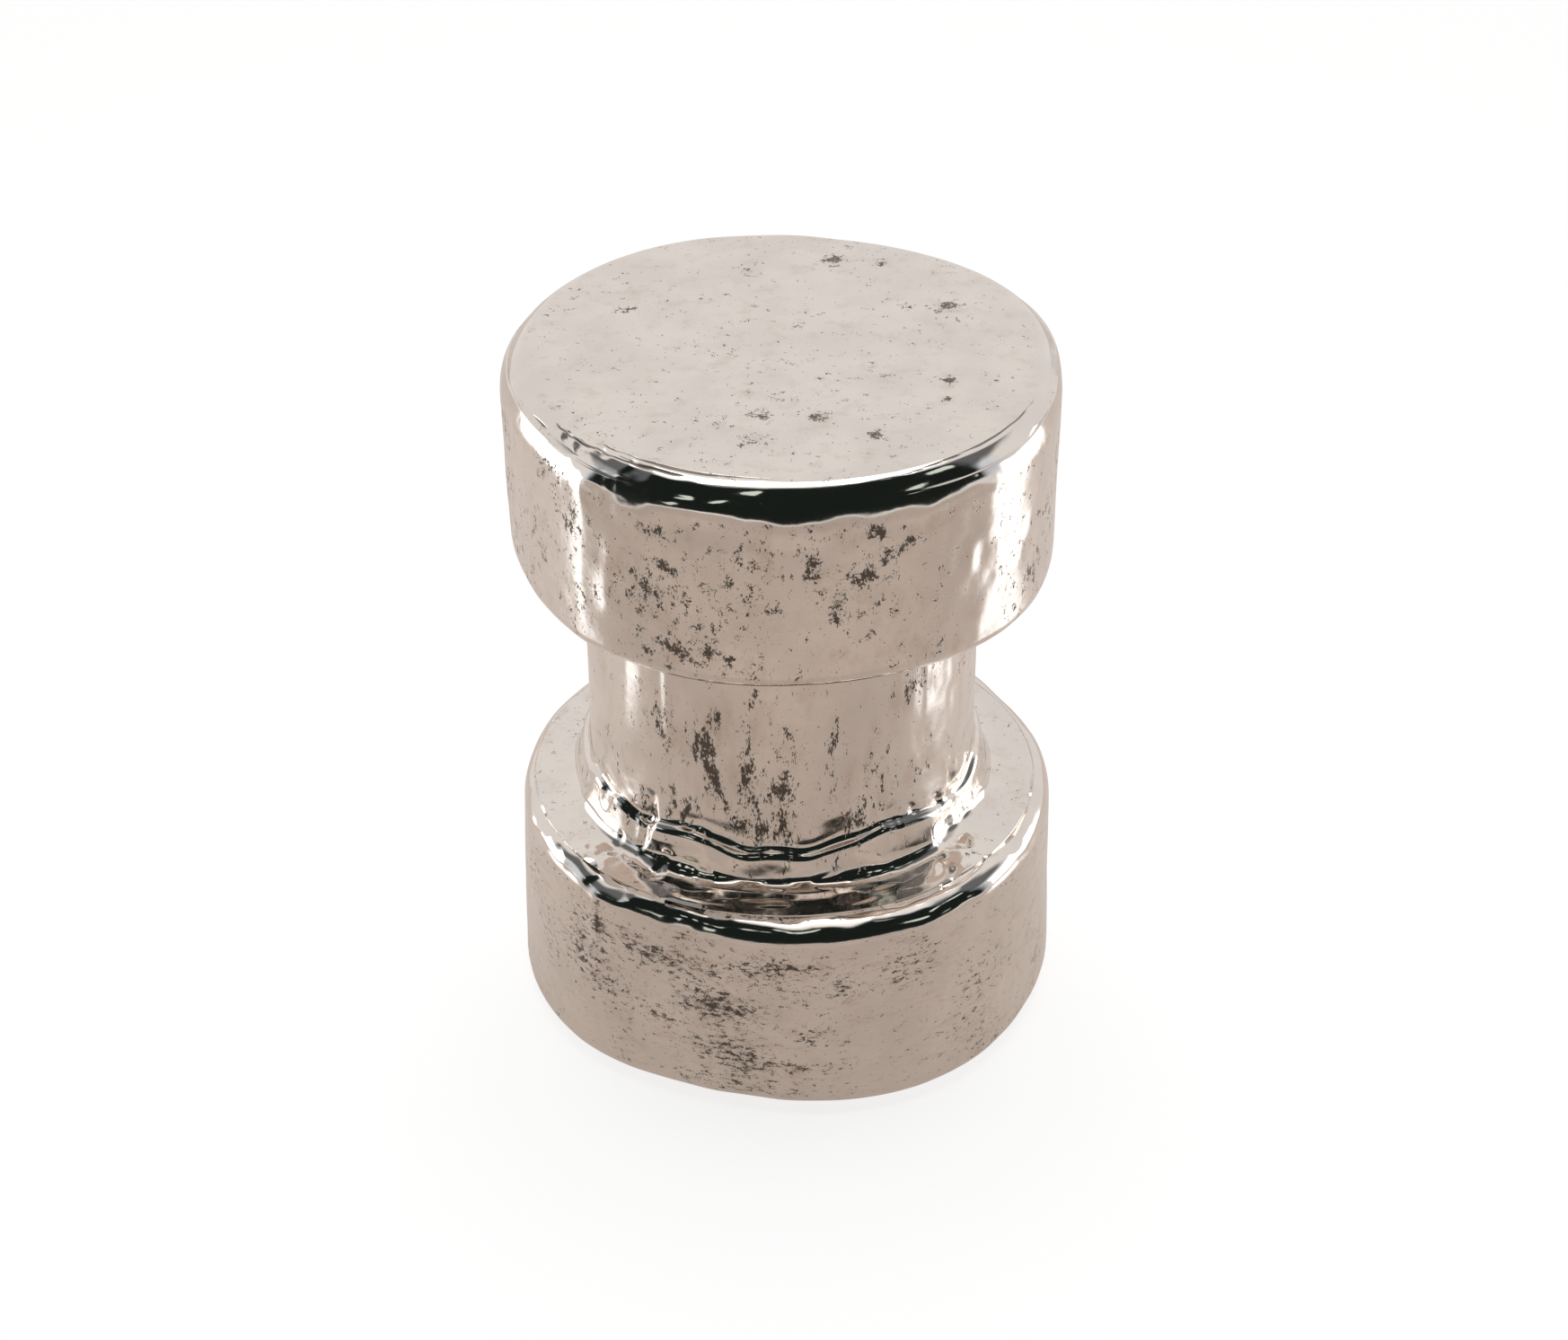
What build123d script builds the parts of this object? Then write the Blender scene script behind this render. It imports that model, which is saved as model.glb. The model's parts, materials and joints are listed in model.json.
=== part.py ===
"""A cast aluminium drum stool: a seat drum and a base drum joined by a narrower neck.

The three castings are hollow. They register on spigots and dowels, and screws put in
from below hold them together. Four screw levellers stand the base a little off the
floor, behind a cover plate. Millimetres, +Z up, origin on the floor under the centre.
"""

from build123d import *
import math
import os

# ---- overall shape -----------------------------------------------------------------
SEAT_HEIGHT = 138.0  # seat drum, underside to sitting face
SEAT_RADIUS = 176.0  # mean radius of the seat drum at its sitting face
SEAT_LEAN = 2.6  # how much smaller the seat drum is at its underside
NECK_HEIGHT = 171.0  # visible height of the neck between the two drums
NECK_RADIUS = 127.0
BASE_HEIGHT = 146.0  # base drum, lower rim to its top face
BASE_RADIUS = 175.5  # mean radius of the base drum at its top face
BASE_LEAN = 3.0  # how much larger the base drum is at its lower rim
RIM_GAP = 5.0  # the base drum's rim stands this far off the floor

# ---- castings ----------------------------------------------------------------------
WALL = 5.5  # side walls of all three castings
PLATE = 8.0  # seat plate, seat underside and base top
SEAT_TOP_ROUND = 15.0
SEAT_LOW_ROUND = 11.0
BASE_TOP_ROUND = 13.0
BASE_LOW_ROUND = 12.0
FOOT_RADIUS = 134.0  # collar round the neck's foot, thicker than the neck
FOOT_HIGH = 18.0  # upright side of that collar
FOOT_SHOULDER = 14.0  # height of the slope from the collar up to the neck
FOOT_FLARE = 7.0  # concave fillet from the collar out on the base drum
FLARE_LIP = 1.5  # edge thickness of a flare
NECK_TOP_FLARE = 6.0
CORE_RADIUS = 90.0  # core hole in the seat underside and in the base top
FLANGE = 10.0  # inward flanges at both ends of the neck
SPIGOT_DEEP = 6.0
SPIGOT_WALL = 7.5
SPIGOT_FIT = 0.25  # radial gap round each spigot
LIP_WIDE = 22.0  # inward lip that stiffens the base drum's rim
LIP_HIGH = 11.0

# ---- joint hardware ----------------------------------------------------------------
JOINT_SCREWS = 6  # M8 cap screws at each end of the neck
SCREW_RADIUS = 4.0
SCREW_HEAD_RADIUS = 6.5
SCREW_HEAD_HIGH = 8.0
SCREW_SOCKET_FLATS = 6.0
SCREW_SOCKET_DEEP = 4.0
SCREW_GRIP = 16.0  # thread in the boss
SCREW_CLEARANCE = 0.5
THREAD_FIT = 0.05
BOSS_RADIUS = 12.0
BOSS_HIGH = 12.0  # how far a tapped boss stands off its plate or flange
WASHER_RADIUS = 8.0
WASHER_THICK = 1.6
DOWELS = 2
DOWEL_RADIUS = 4.0
DOWEL_DEEP = 7.5  # depth of a dowel in each of the two pieces it lines up
DOWEL_FIT = 0.02

# ---- levellers and cover -----------------------------------------------------------
LEVELLERS = 4
STUD_RADIUS = 5.0  # M10
STUD_ABOVE_BOSS = 4.0
COLLAR_FLATS = 14.0
COLLAR_HIGH = 4.0
PIN_RADIUS = 4.0  # the stud's plain end, which turns in the cup
PIN_LONG = 2.8
TURN_FIT = 0.1
GLIDE_RADIUS = 16.0
GLIDE_HIGH = 5.0
GLIDE_SOLE = 2.0
CUP_RADIUS = 12.9
CUP_FIT = 0.1
CUP_TOP = 7.0
CUP_SOCKET_DEEP = 3.0
EDGE_BREAK = 0.8
LEVELLER_CLEARANCE = 8.0  # between a glide and the base drum's lip
INSERT_RADIUS = 7.5
INSERT_LONG = 24.0
LUG_RADIUS = 14.0
LUG_HIGH = 36.0
LUG_WEB = 12.0  # thickness of the web from a lug to the wall
COVER_THICK = 3.0
COVER_CLEARANCE = 3.0  # between the cover's edge and the base drum's lip
COVER_ABOVE_LIP = 8.0
COVER_SCREWS = 4
COVER_SCREW_RADIUS = 2.5
COVER_SCREW_HEAD_RADIUS = 4.75
COVER_SCREW_HEAD_HIGH = 3.0
COVER_SCREW_GRIP = 10.0
COVER_LUG_RADIUS = 8.0
COVER_LUG_HIGH = 18.0
NUT_FLATS = 16.0
NUT_HIGH = 5.0

# ---- levels and radii that follow from them ----------------------------------------
RIM_Z = RIM_GAP
BASE_TOP_Z = RIM_Z + BASE_HEIGHT
NECK_TOP_Z = BASE_TOP_Z + NECK_HEIGHT
SEAT_TOP_Z = NECK_TOP_Z + SEAT_HEIGHT
NECK_BORE = NECK_RADIUS - WALL
SPIGOT_RADIUS = CORE_RADIUS - SPIGOT_FIT
SCREW_CIRCLE = (CORE_RADIUS + NECK_BORE) / 2
RIM_RADIUS = BASE_RADIUS + BASE_LEAN
LIP_RADIUS = RIM_RADIUS - LIP_WIDE
LEVELLER_CIRCLE = LIP_RADIUS - LEVELLER_CLEARANCE - GLIDE_RADIUS
COVER_RADIUS = LIP_RADIUS - COVER_CLEARANCE
COVER_SCREW_CIRCLE = COVER_RADIUS - COVER_LUG_RADIUS
COVER_TOP_Z = RIM_Z + LIP_HIGH + COVER_ABOVE_LIP
COVER_Z = COVER_TOP_Z - COVER_THICK
BLEED = 1.0  # how far a cut or a buried end runs past the face it goes through


def drum(low_radius, high_radius, low_z, high_z):
    """Round drum whose wall leans evenly from its lower radius to its upper one."""
    solid = Cone(low_radius, high_radius, high_z - low_z, align=(Align.CENTER, Align.CENTER, Align.MIN))
    return Pos(0, 0, low_z) * solid


def rim_edges(solid, z):
    """Edges of a solid that lie in the level z."""
    return solid.edges().filter_by_position(Axis.Z, z - 0.01, z + 0.01)


def disc(radius, low_z, high_z, x=0.0, y=0.0):
    """Upright cylinder from low_z to high_z."""
    return Pos(x, y, low_z) * Cylinder(radius, high_z - low_z, align=(Align.CENTER, Align.CENTER, Align.MIN))


def ring(outer, inner, low_z, high_z, x=0.0, y=0.0):
    """Flat ring from low_z to high_z, its hole cut right through."""
    return disc(outer, low_z, high_z, x, y) - disc(inner, low_z - BLEED, high_z + BLEED, x, y)


def hexagon(flats, low_z, high_z, x=0.0, y=0.0):
    """Upright hexagonal bar by its width across flats."""
    face = Pos(x, y, low_z) * RegularPolygon(flats / 2, 6, major_radius=False)
    return extrude(face, high_z - low_z)


def circle_places(count, radius, first_degrees):
    """Evenly spaced (x, y) places on a circle."""
    places = []
    for step in range(count):
        turn = math.radians(first_degrees + 360.0 * step / count)
        places.append((radius * math.cos(turn), radius * math.sin(turn)))
    return places


SCREW_PLACES = circle_places(JOINT_SCREWS, SCREW_CIRCLE, 0.0)
DOWEL_PLACES = circle_places(DOWELS, SCREW_CIRCLE, 180.0 / JOINT_SCREWS)
LEVELLER_PLACES = circle_places(LEVELLERS, LEVELLER_CIRCLE, 180.0 / LEVELLERS)
COVER_SCREW_PLACES = circle_places(COVER_SCREWS, COVER_SCREW_CIRCLE, 0.0)


def lug(radius, high, place, bore, bore_deep):
    """Boss on the inside of the base wall, with a web out to the wall, bored from below."""
    x, y = place
    reach = math.hypot(x, y)
    turn = math.degrees(math.atan2(y, x))
    web_long = RIM_RADIUS - WALL / 2 - reach
    web = Box(web_long, min(LUG_WEB, radius), high, align=(Align.MIN, Align.CENTER, Align.MIN))
    body = disc(radius, COVER_TOP_Z, COVER_TOP_Z + high, x, y)
    body += Rot(0, 0, turn) * Pos(reach, 0, COVER_TOP_Z) * web
    return body - disc(bore, COVER_TOP_Z - BLEED, COVER_TOP_Z + bore_deep, x, y)


def make_seat_casting():
    """Seat drum: closed on top, with tapped bosses round a core hole in its underside."""
    body = drum(SEAT_RADIUS - SEAT_LEAN, SEAT_RADIUS, NECK_TOP_Z, SEAT_TOP_Z)
    body = fillet(rim_edges(body, SEAT_TOP_Z), SEAT_TOP_ROUND)
    body = fillet(rim_edges(body, NECK_TOP_Z), SEAT_LOW_ROUND)
    inside = SEAT_RADIUS - WALL
    body -= drum(inside - SEAT_LEAN, inside, NECK_TOP_Z + PLATE, SEAT_TOP_Z - PLATE)
    for x, y in SCREW_PLACES:
        body += disc(BOSS_RADIUS, NECK_TOP_Z + PLATE / 2, NECK_TOP_Z + PLATE + BOSS_HIGH, x, y)
    body -= disc(CORE_RADIUS, NECK_TOP_Z - BLEED, NECK_TOP_Z + PLATE + BLEED)
    for x, y in SCREW_PLACES:
        body -= disc(SCREW_RADIUS + THREAD_FIT, NECK_TOP_Z - BLEED, NECK_TOP_Z + SCREW_GRIP + BLEED, x, y)
    for x, y in DOWEL_PLACES:
        body -= disc(DOWEL_RADIUS + DOWEL_FIT, NECK_TOP_Z - BLEED, NECK_TOP_Z + DOWEL_DEEP, x, y)
    return body


def make_neck_casting():
    """Neck: a flanged tube with a spigot at each end and a collar round its foot."""
    flare_radius = FOOT_RADIUS + FOOT_FLARE
    flare_z = BASE_TOP_Z + FLARE_LIP + FOOT_FLARE
    collar_z = BASE_TOP_Z + FOOT_HIGH
    top_radius = NECK_RADIUS + NECK_TOP_FLARE
    top_z = NECK_TOP_Z - FLARE_LIP - NECK_TOP_FLARE
    with BuildPart() as build:
        with BuildSketch(Plane.XZ):
            with BuildLine():
                Line((0, BASE_TOP_Z), (flare_radius, BASE_TOP_Z))
                Line((flare_radius, BASE_TOP_Z), (flare_radius, BASE_TOP_Z + FLARE_LIP))
                RadiusArc((flare_radius, BASE_TOP_Z + FLARE_LIP), (FOOT_RADIUS, flare_z), FOOT_FLARE)
                Line((FOOT_RADIUS, flare_z), (FOOT_RADIUS, collar_z))
                Line((FOOT_RADIUS, collar_z), (NECK_RADIUS, collar_z + FOOT_SHOULDER))
                Line((NECK_RADIUS, collar_z + FOOT_SHOULDER), (NECK_RADIUS, top_z))
                RadiusArc((NECK_RADIUS, top_z), (top_radius, NECK_TOP_Z - FLARE_LIP), NECK_TOP_FLARE)
                Line((top_radius, NECK_TOP_Z - FLARE_LIP), (top_radius, NECK_TOP_Z))
                Line((top_radius, NECK_TOP_Z), (0, NECK_TOP_Z))
                Line((0, NECK_TOP_Z), (0, BASE_TOP_Z))
            make_face()
        revolve(axis=Axis.Z)
    body = build.part
    body += disc(SPIGOT_RADIUS, NECK_TOP_Z - BLEED, NECK_TOP_Z + SPIGOT_DEEP)
    body += disc(SPIGOT_RADIUS, BASE_TOP_Z - SPIGOT_DEEP, BASE_TOP_Z + BLEED)
    body -= disc(NECK_BORE, BASE_TOP_Z + FLANGE, NECK_TOP_Z - FLANGE)
    for x, y in SCREW_PLACES:
        body += disc(BOSS_RADIUS, BASE_TOP_Z + FLANGE / 2, BASE_TOP_Z + FLANGE + BOSS_HIGH, x, y)
    body -= disc(SPIGOT_RADIUS - SPIGOT_WALL, BASE_TOP_Z - SPIGOT_DEEP - BLEED, NECK_TOP_Z + SPIGOT_DEEP + BLEED)
    for x, y in SCREW_PLACES:
        body -= disc(SCREW_RADIUS + SCREW_CLEARANCE, NECK_TOP_Z - FLANGE - BLEED, NECK_TOP_Z + BLEED, x, y)
        body -= disc(SCREW_RADIUS + THREAD_FIT, BASE_TOP_Z - BLEED, BASE_TOP_Z + SCREW_GRIP + BLEED, x, y)
    for x, y in DOWEL_PLACES:
        body -= disc(DOWEL_RADIUS + DOWEL_FIT, NECK_TOP_Z - DOWEL_DEEP, NECK_TOP_Z + BLEED, x, y)
        body -= disc(DOWEL_RADIUS + DOWEL_FIT, BASE_TOP_Z - BLEED, BASE_TOP_Z + DOWEL_DEEP, x, y)
    return body


def make_base_casting():
    """Base drum: open below, with a stiff lip round its rim and lugs on its wall."""
    body = drum(RIM_RADIUS, BASE_RADIUS, RIM_Z, BASE_TOP_Z)
    body = fillet(rim_edges(body, BASE_TOP_Z), BASE_TOP_ROUND)
    body = fillet(rim_edges(body, RIM_Z), BASE_LOW_ROUND)
    body -= drum(RIM_RADIUS - WALL, BASE_RADIUS - WALL, RIM_Z + LIP_HIGH, BASE_TOP_Z - PLATE)
    body -= disc(LIP_RADIUS, RIM_Z - BLEED, RIM_Z + LIP_HIGH + BLEED)
    body -= disc(CORE_RADIUS, BASE_TOP_Z - PLATE - BLEED, BASE_TOP_Z + BLEED)
    for place in LEVELLER_PLACES:
        body += lug(LUG_RADIUS, LUG_HIGH, place, INSERT_RADIUS, LUG_HIGH + BLEED)
    for place in COVER_SCREW_PLACES:
        body += lug(COVER_LUG_RADIUS, COVER_LUG_HIGH, place, COVER_SCREW_RADIUS + THREAD_FIT, COVER_SCREW_GRIP + BLEED)
    for x, y in SCREW_PLACES:
        body -= disc(SCREW_RADIUS + SCREW_CLEARANCE, BASE_TOP_Z - PLATE - BLEED, BASE_TOP_Z + BLEED, x, y)
    for x, y in DOWEL_PLACES:
        body -= disc(DOWEL_RADIUS + DOWEL_FIT, BASE_TOP_Z - DOWEL_DEEP, BASE_TOP_Z + BLEED, x, y)
    return body


def cap_screw(x, y, seat_z, thick):
    """Socket cap screw that clamps a piece `thick` high, its head and washer under seat_z."""
    head_z = seat_z - WASHER_THICK
    screw = disc(SCREW_HEAD_RADIUS, head_z - SCREW_HEAD_HIGH, head_z, x, y)
    screw = chamfer(rim_edges(screw, head_z - SCREW_HEAD_HIGH), EDGE_BREAK)
    screw += disc(SCREW_RADIUS, head_z - BLEED, seat_z + thick + SCREW_GRIP, x, y)
    socket_z = head_z - SCREW_HEAD_HIGH
    return screw - hexagon(SCREW_SOCKET_FLATS, socket_z - BLEED, socket_z + SCREW_SOCKET_DEEP, x, y)


def washer(x, y, top_z):
    """Flat washer whose upper face is at top_z."""
    return ring(WASHER_RADIUS, SCREW_RADIUS + SCREW_CLEARANCE, top_z - WASHER_THICK, top_z, x, y)


def dowel(x, y, joint_z):
    """Dowel pin across a joint face, its ends chamfered."""
    pin = disc(DOWEL_RADIUS, joint_z - DOWEL_DEEP + EDGE_BREAK / 2, joint_z + DOWEL_DEEP - EDGE_BREAK / 2, x, y)
    return chamfer(pin.edges().filter_by(GeomType.CIRCLE), EDGE_BREAK)


def make_cover_plate():
    """Plate that closes the base from below, with holes for its screws and the levellers."""
    plate = disc(COVER_RADIUS, COVER_Z, COVER_TOP_Z)
    for x, y in COVER_SCREW_PLACES:
        plate -= disc(COVER_SCREW_RADIUS + SCREW_CLEARANCE, COVER_Z - BLEED, COVER_TOP_Z + BLEED, x, y)
    for x, y in LEVELLER_PLACES:
        plate -= disc(STUD_RADIUS + SCREW_CLEARANCE, COVER_Z - BLEED, COVER_TOP_Z + BLEED, x, y)
    return plate


def cover_screw(x, y):
    """Pan-head screw that holds the cover plate up against its lug."""
    head = disc(COVER_SCREW_HEAD_RADIUS, COVER_Z - COVER_SCREW_HEAD_HIGH, COVER_Z, x, y)
    head = fillet(rim_edges(head, COVER_Z - COVER_SCREW_HEAD_HIGH), COVER_SCREW_HEAD_HIGH / 2)
    return head + disc(COVER_SCREW_RADIUS, COVER_Z - BLEED, COVER_TOP_Z + COVER_SCREW_GRIP, x, y)


def leveller_insert(x, y):
    """Threaded steel bush pressed into a lug from below."""
    return ring(INSERT_RADIUS, STUD_RADIUS + THREAD_FIT, COVER_TOP_Z, COVER_TOP_Z + INSERT_LONG, x, y)


def jam_nut(x, y):
    """Thin nut that locks a leveller against the cover plate."""
    nut = hexagon(NUT_FLATS, COVER_Z - NUT_HIGH, COVER_Z, x, y)
    return nut - disc(STUD_RADIUS + THREAD_FIT, COVER_Z - NUT_HIGH - BLEED, COVER_Z + BLEED, x, y)


def leveller_stud(x, y):
    """Threaded stud with a hexagonal collar to turn it by, and a plain end in the cup."""
    top_z = COVER_TOP_Z + LUG_HIGH + STUD_ABOVE_BOSS
    shank = disc(STUD_RADIUS, CUP_TOP + COLLAR_HIGH - BLEED, top_z, x, y)
    shank = chamfer(rim_edges(shank, top_z), EDGE_BREAK)
    collar = hexagon(COLLAR_FLATS, CUP_TOP, CUP_TOP + COLLAR_HIGH, x, y)
    return shank + collar + disc(PIN_RADIUS, CUP_TOP - PIN_LONG, CUP_TOP + BLEED, x, y)


def leveller_cup(x, y):
    """Steel cup that the stud stands and turns in."""
    cup = disc(CUP_RADIUS, GLIDE_SOLE, CUP_TOP, x, y)
    cup = chamfer(rim_edges(cup, CUP_TOP), EDGE_BREAK)
    return cup - disc(PIN_RADIUS + TURN_FIT, CUP_TOP - CUP_SOCKET_DEEP, CUP_TOP + BLEED, x, y)


def leveller_glide(x, y):
    """Nylon glide under the cup, which meets the floor."""
    glide = disc(GLIDE_RADIUS, 0.0, GLIDE_HIGH, x, y)
    glide = chamfer(glide.edges().filter_by(GeomType.CIRCLE), EDGE_BREAK)
    return glide - disc(CUP_RADIUS + CUP_FIT, GLIDE_SOLE, GLIDE_HIGH + BLEED, x, y)


def group(solids):
    """Several alike pieces as one node of separate solids."""
    return Compound(children=list(solids))


os.makedirs("parts", exist_ok=True)
PIECES = {
    "seat_casting": make_seat_casting(),
    "neck_casting": make_neck_casting(),
    "base_casting": make_base_casting(),
    "seat_joint_screws": group(cap_screw(x, y, NECK_TOP_Z - FLANGE, FLANGE) for x, y in SCREW_PLACES),
    "seat_joint_washers": group(washer(x, y, NECK_TOP_Z - FLANGE) for x, y in SCREW_PLACES),
    "seat_joint_dowels": group(dowel(x, y, NECK_TOP_Z) for x, y in DOWEL_PLACES),
    "base_joint_screws": group(cap_screw(x, y, BASE_TOP_Z - PLATE, PLATE) for x, y in SCREW_PLACES),
    "base_joint_washers": group(washer(x, y, BASE_TOP_Z - PLATE) for x, y in SCREW_PLACES),
    "base_joint_dowels": group(dowel(x, y, BASE_TOP_Z) for x, y in DOWEL_PLACES),
    "cover_plate": make_cover_plate(),
    "cover_screws": group(cover_screw(x, y) for x, y in COVER_SCREW_PLACES),
    "leveller_inserts": group(leveller_insert(x, y) for x, y in LEVELLER_PLACES),
    "leveller_jam_nuts": group(jam_nut(x, y) for x, y in LEVELLER_PLACES),
}
for number, (x, y) in enumerate(LEVELLER_PLACES, start=1):
    PIECES[f"leveller_stud_{number}"] = leveller_stud(x, y)
    PIECES[f"leveller_cup_{number}"] = leveller_cup(x, y)
    PIECES[f"leveller_glide_{number}"] = leveller_glide(x, y)

for name, piece in PIECES.items():
    piece.label = name
    export_step(piece, f"parts/{name}.step")
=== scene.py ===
"""The looks of a cast drum stool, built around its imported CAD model.

The three polished castings are worked out here as dense surfaces with the unevenness of
hand-formed metal. The screws, levellers and cover stay as the CAD made them and get
finishes. Sizes are in millimetres until a surface becomes a mesh, which is in metres.
"""

import json
import logging
import math
from dataclasses import dataclass, field
from enum import Enum

import bpy
import numpy as np
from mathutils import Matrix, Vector


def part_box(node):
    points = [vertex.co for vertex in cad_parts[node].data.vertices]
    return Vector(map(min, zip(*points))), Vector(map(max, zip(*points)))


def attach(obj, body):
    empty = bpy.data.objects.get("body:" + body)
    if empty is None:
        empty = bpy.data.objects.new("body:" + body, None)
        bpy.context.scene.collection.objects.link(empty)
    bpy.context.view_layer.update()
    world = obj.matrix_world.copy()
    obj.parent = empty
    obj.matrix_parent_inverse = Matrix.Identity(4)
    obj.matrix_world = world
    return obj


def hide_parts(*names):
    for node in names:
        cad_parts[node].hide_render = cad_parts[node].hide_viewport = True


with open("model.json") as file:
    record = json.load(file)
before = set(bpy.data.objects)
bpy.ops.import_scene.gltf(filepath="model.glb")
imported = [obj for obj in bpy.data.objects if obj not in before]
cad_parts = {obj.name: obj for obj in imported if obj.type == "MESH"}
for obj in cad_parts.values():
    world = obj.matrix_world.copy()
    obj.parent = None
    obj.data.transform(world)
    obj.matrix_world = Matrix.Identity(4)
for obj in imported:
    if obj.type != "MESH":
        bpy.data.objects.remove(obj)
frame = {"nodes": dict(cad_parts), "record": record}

LOG = logging.getLogger("drum_stool")
MM = 0.001
Array = np.ndarray
Triple = tuple[float, float, float]
Edge = tuple[tuple[float, float], ...]
UPRIGHT_GRAIN = (1.0, 1.0, 9.0)
HASH_AXES = np.array([73856093, 19349663, 83492791])
HASH_SEED = 39916801
HASH_ROUNDS = ((13, 1274126177), (16, 668265263))
HASH_MASK = 0xFFFFFFFF
HASH_HALF = 2147483648.0
SEED_SHIFT = 7.31


# ---- numbers and noise ----


def smooth_step(value: Array, low: float, high: float) -> Array:
    """Zero below low, one above high, and an even S curve (3t^2 - 2t^3) between."""
    t = np.clip((value - low) / (high - low), 0.0, 1.0)
    return t * t * (3.0 - 2.0 * t)


def between(value: Array, start: float, full: float, fade: float, end: float) -> Array:
    """One from `full` to `fade`, and smoothly down to zero at `start` and at `end`."""
    return smooth_step(value, start, full) * (1.0 - smooth_step(value, fade, end))


def hump(value: Array, width: float) -> Array:
    """Bell curve of height one: e to the minus (value / width) squared."""
    return np.exp(-((value / width) ** 2))


def turn_between(angle: Array, facing: float) -> Array:
    """Signed turn in radians from the direction `facing` (degrees) to each angle."""
    away = angle - math.radians(facing)
    return (away + math.pi) % (2.0 * math.pi) - math.pi


def circle_points(angle: Array, reach: float, level: Array | float = 0.0) -> Array:
    """Points on a circle of radius `reach`, at the same angles and at a level."""
    level = np.broadcast_to(level, angle.shape)
    return np.stack([np.cos(angle) * reach, np.sin(angle) * reach, level], axis=-1)


def lattice_noise(points: Array, seed: int) -> Array:
    """Smooth noise from -1 to 1, one cell per unit.

    Each corner of a unit lattice has a value hashed from its whole coordinates, and a
    point takes the eight values round it, mixed by quintic weights 6t^5 - 15t^4 + 10t^3.

    Args:
        points: Places, one row of three coordinates each.
        seed: Chooses the set of corner values.

    Returns:
        One value per point.
    """
    cell = np.floor(points).astype(np.int64)
    part = points - cell
    mix = part**3 * (part * (part * 6.0 - 15.0) + 10.0)
    total = np.zeros(len(points))
    for corner in range(8):
        step = np.array([corner & 1, corner >> 1 & 1, corner >> 2 & 1])
        key = (cell + step) @ HASH_AXES + seed * HASH_SEED
        for shift, factor in HASH_ROUNDS:
            key = (key ^ (key >> shift)) * factor & HASH_MASK
        value = key / HASH_HALF - 1.0
        total += value * np.prod(np.where(step, mix, 1.0 - mix), axis=1)
    return total


@dataclass(frozen=True)
class Ripple:
    """One layer of unevenness: noise of a wavelength and depth in millimetres."""

    wavelength: float
    depth: float
    seed: int
    tall: float = 1.0

    def over(self, points: Array) -> Array:
        """Height of the layer at each point; `tall` stretches it upwards."""
        scaled = points / self.wavelength * np.array([1.0, 1.0, 1.0 / self.tall])
        return self.depth * lattice_noise(scaled + self.seed * SEED_SHIFT, self.seed)


@dataclass(frozen=True)
class HoopRipple(Ripple):
    """Unevenness drawn out round the drum, like metal dragged by a polishing wheel."""

    long: float = 3.0
    round_radius: float = 150.0

    def over(self, points: Array) -> Array:
        """Noise over the place on a fixed circle, drawn out, and over radius plus level."""
        angle = np.arctan2(points[:, 1], points[:, 0])
        reach = self.round_radius / (self.wavelength * self.long)
        inward = (np.hypot(points[:, 0], points[:, 1]) + points[:, 2]) / self.wavelength
        scaled = circle_points(angle, reach, inward)
        return self.depth * lattice_noise(scaled + self.seed * SEED_SHIFT, self.seed)


@dataclass(frozen=True)
class Lobe:
    """A slow swelling of a hand-formed outline: `count` waves round the drum."""

    count: int
    height: float
    facing: float

    def around(self, angle: Array) -> Array:
        """Height times the cosine of count times the turn from facing."""
        return self.height * np.cos(self.count * turn_between(angle, self.facing))


def along_wall(
    line: "Ridge | Kink", angle: Array, z: Array, radius: float, fades: float
) -> tuple[Array, Array]:
    """Distance across a line that runs up a wall, and the line's strength, at each point."""
    middle = (line.low + line.high) / 2.0
    across = radius * turn_between(angle, line.facing) - line.lean * (z - middle)
    fade = (line.high - line.low) / fades
    return across, between(z, line.low, line.low + fade, line.high - fade, line.high)


@dataclass(frozen=True)
class Ridge:
    """A soft upright ridge (or a flute, when height is negative) on a wall."""

    facing: float
    width: float
    height: float
    low: float
    high: float
    lean: float = 0.0

    def over(self, angle: Array, z: Array, radius: float) -> Array:
        """Bell across the wall times a soft start and end up the wall."""
        across, strength = along_wall(self, angle, z, radius, fades=4.0)
        return self.height * hump(across, self.width) * strength


@dataclass(frozen=True)
class Kink:
    """A line up a wall where its two sides meet at an angle, as two flats would.

    Attributes:
        facing: Direction of the line, in degrees.
        height: How far the line stands out.
        flank: Length in which each side runs back to the round wall.
        sharp: Half width of the rounded meeting.
        low: Level where it starts.
        high: Level where it ends.
        lean: Sideways run of the line for each millimetre up.
    """

    facing: float
    height: float
    flank: float
    sharp: float
    low: float
    high: float
    lean: float = 0.0

    def over(self, angle: Array, z: Array, radius: float) -> Array:
        """Height times e to the minus (rounded distance from the line / flank)."""
        across, strength = along_wall(self, angle, z, radius, fades=3.0)
        away = np.sqrt(across**2 + self.sharp**2) - self.sharp
        return self.height * np.exp(-away / self.flank) * strength


@dataclass(frozen=True)
class Patch:
    """A place on a wall, worn or crumpled: centre, half sizes, strength."""

    facing: float
    level: float
    wide: float
    high: float
    strength: float = 1.0
    lean: float = 0.0

    def over(self, angle: Array, z: Array, radius: float) -> Array:
        """Elliptical bell on the unrolled wall, leaned by `lean`."""
        up = z - self.level
        across = radius * turn_between(angle, self.facing) - self.lean * up
        return self.strength * np.exp(-((across / self.wide) ** 2) - (up / self.high) ** 2)


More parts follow.
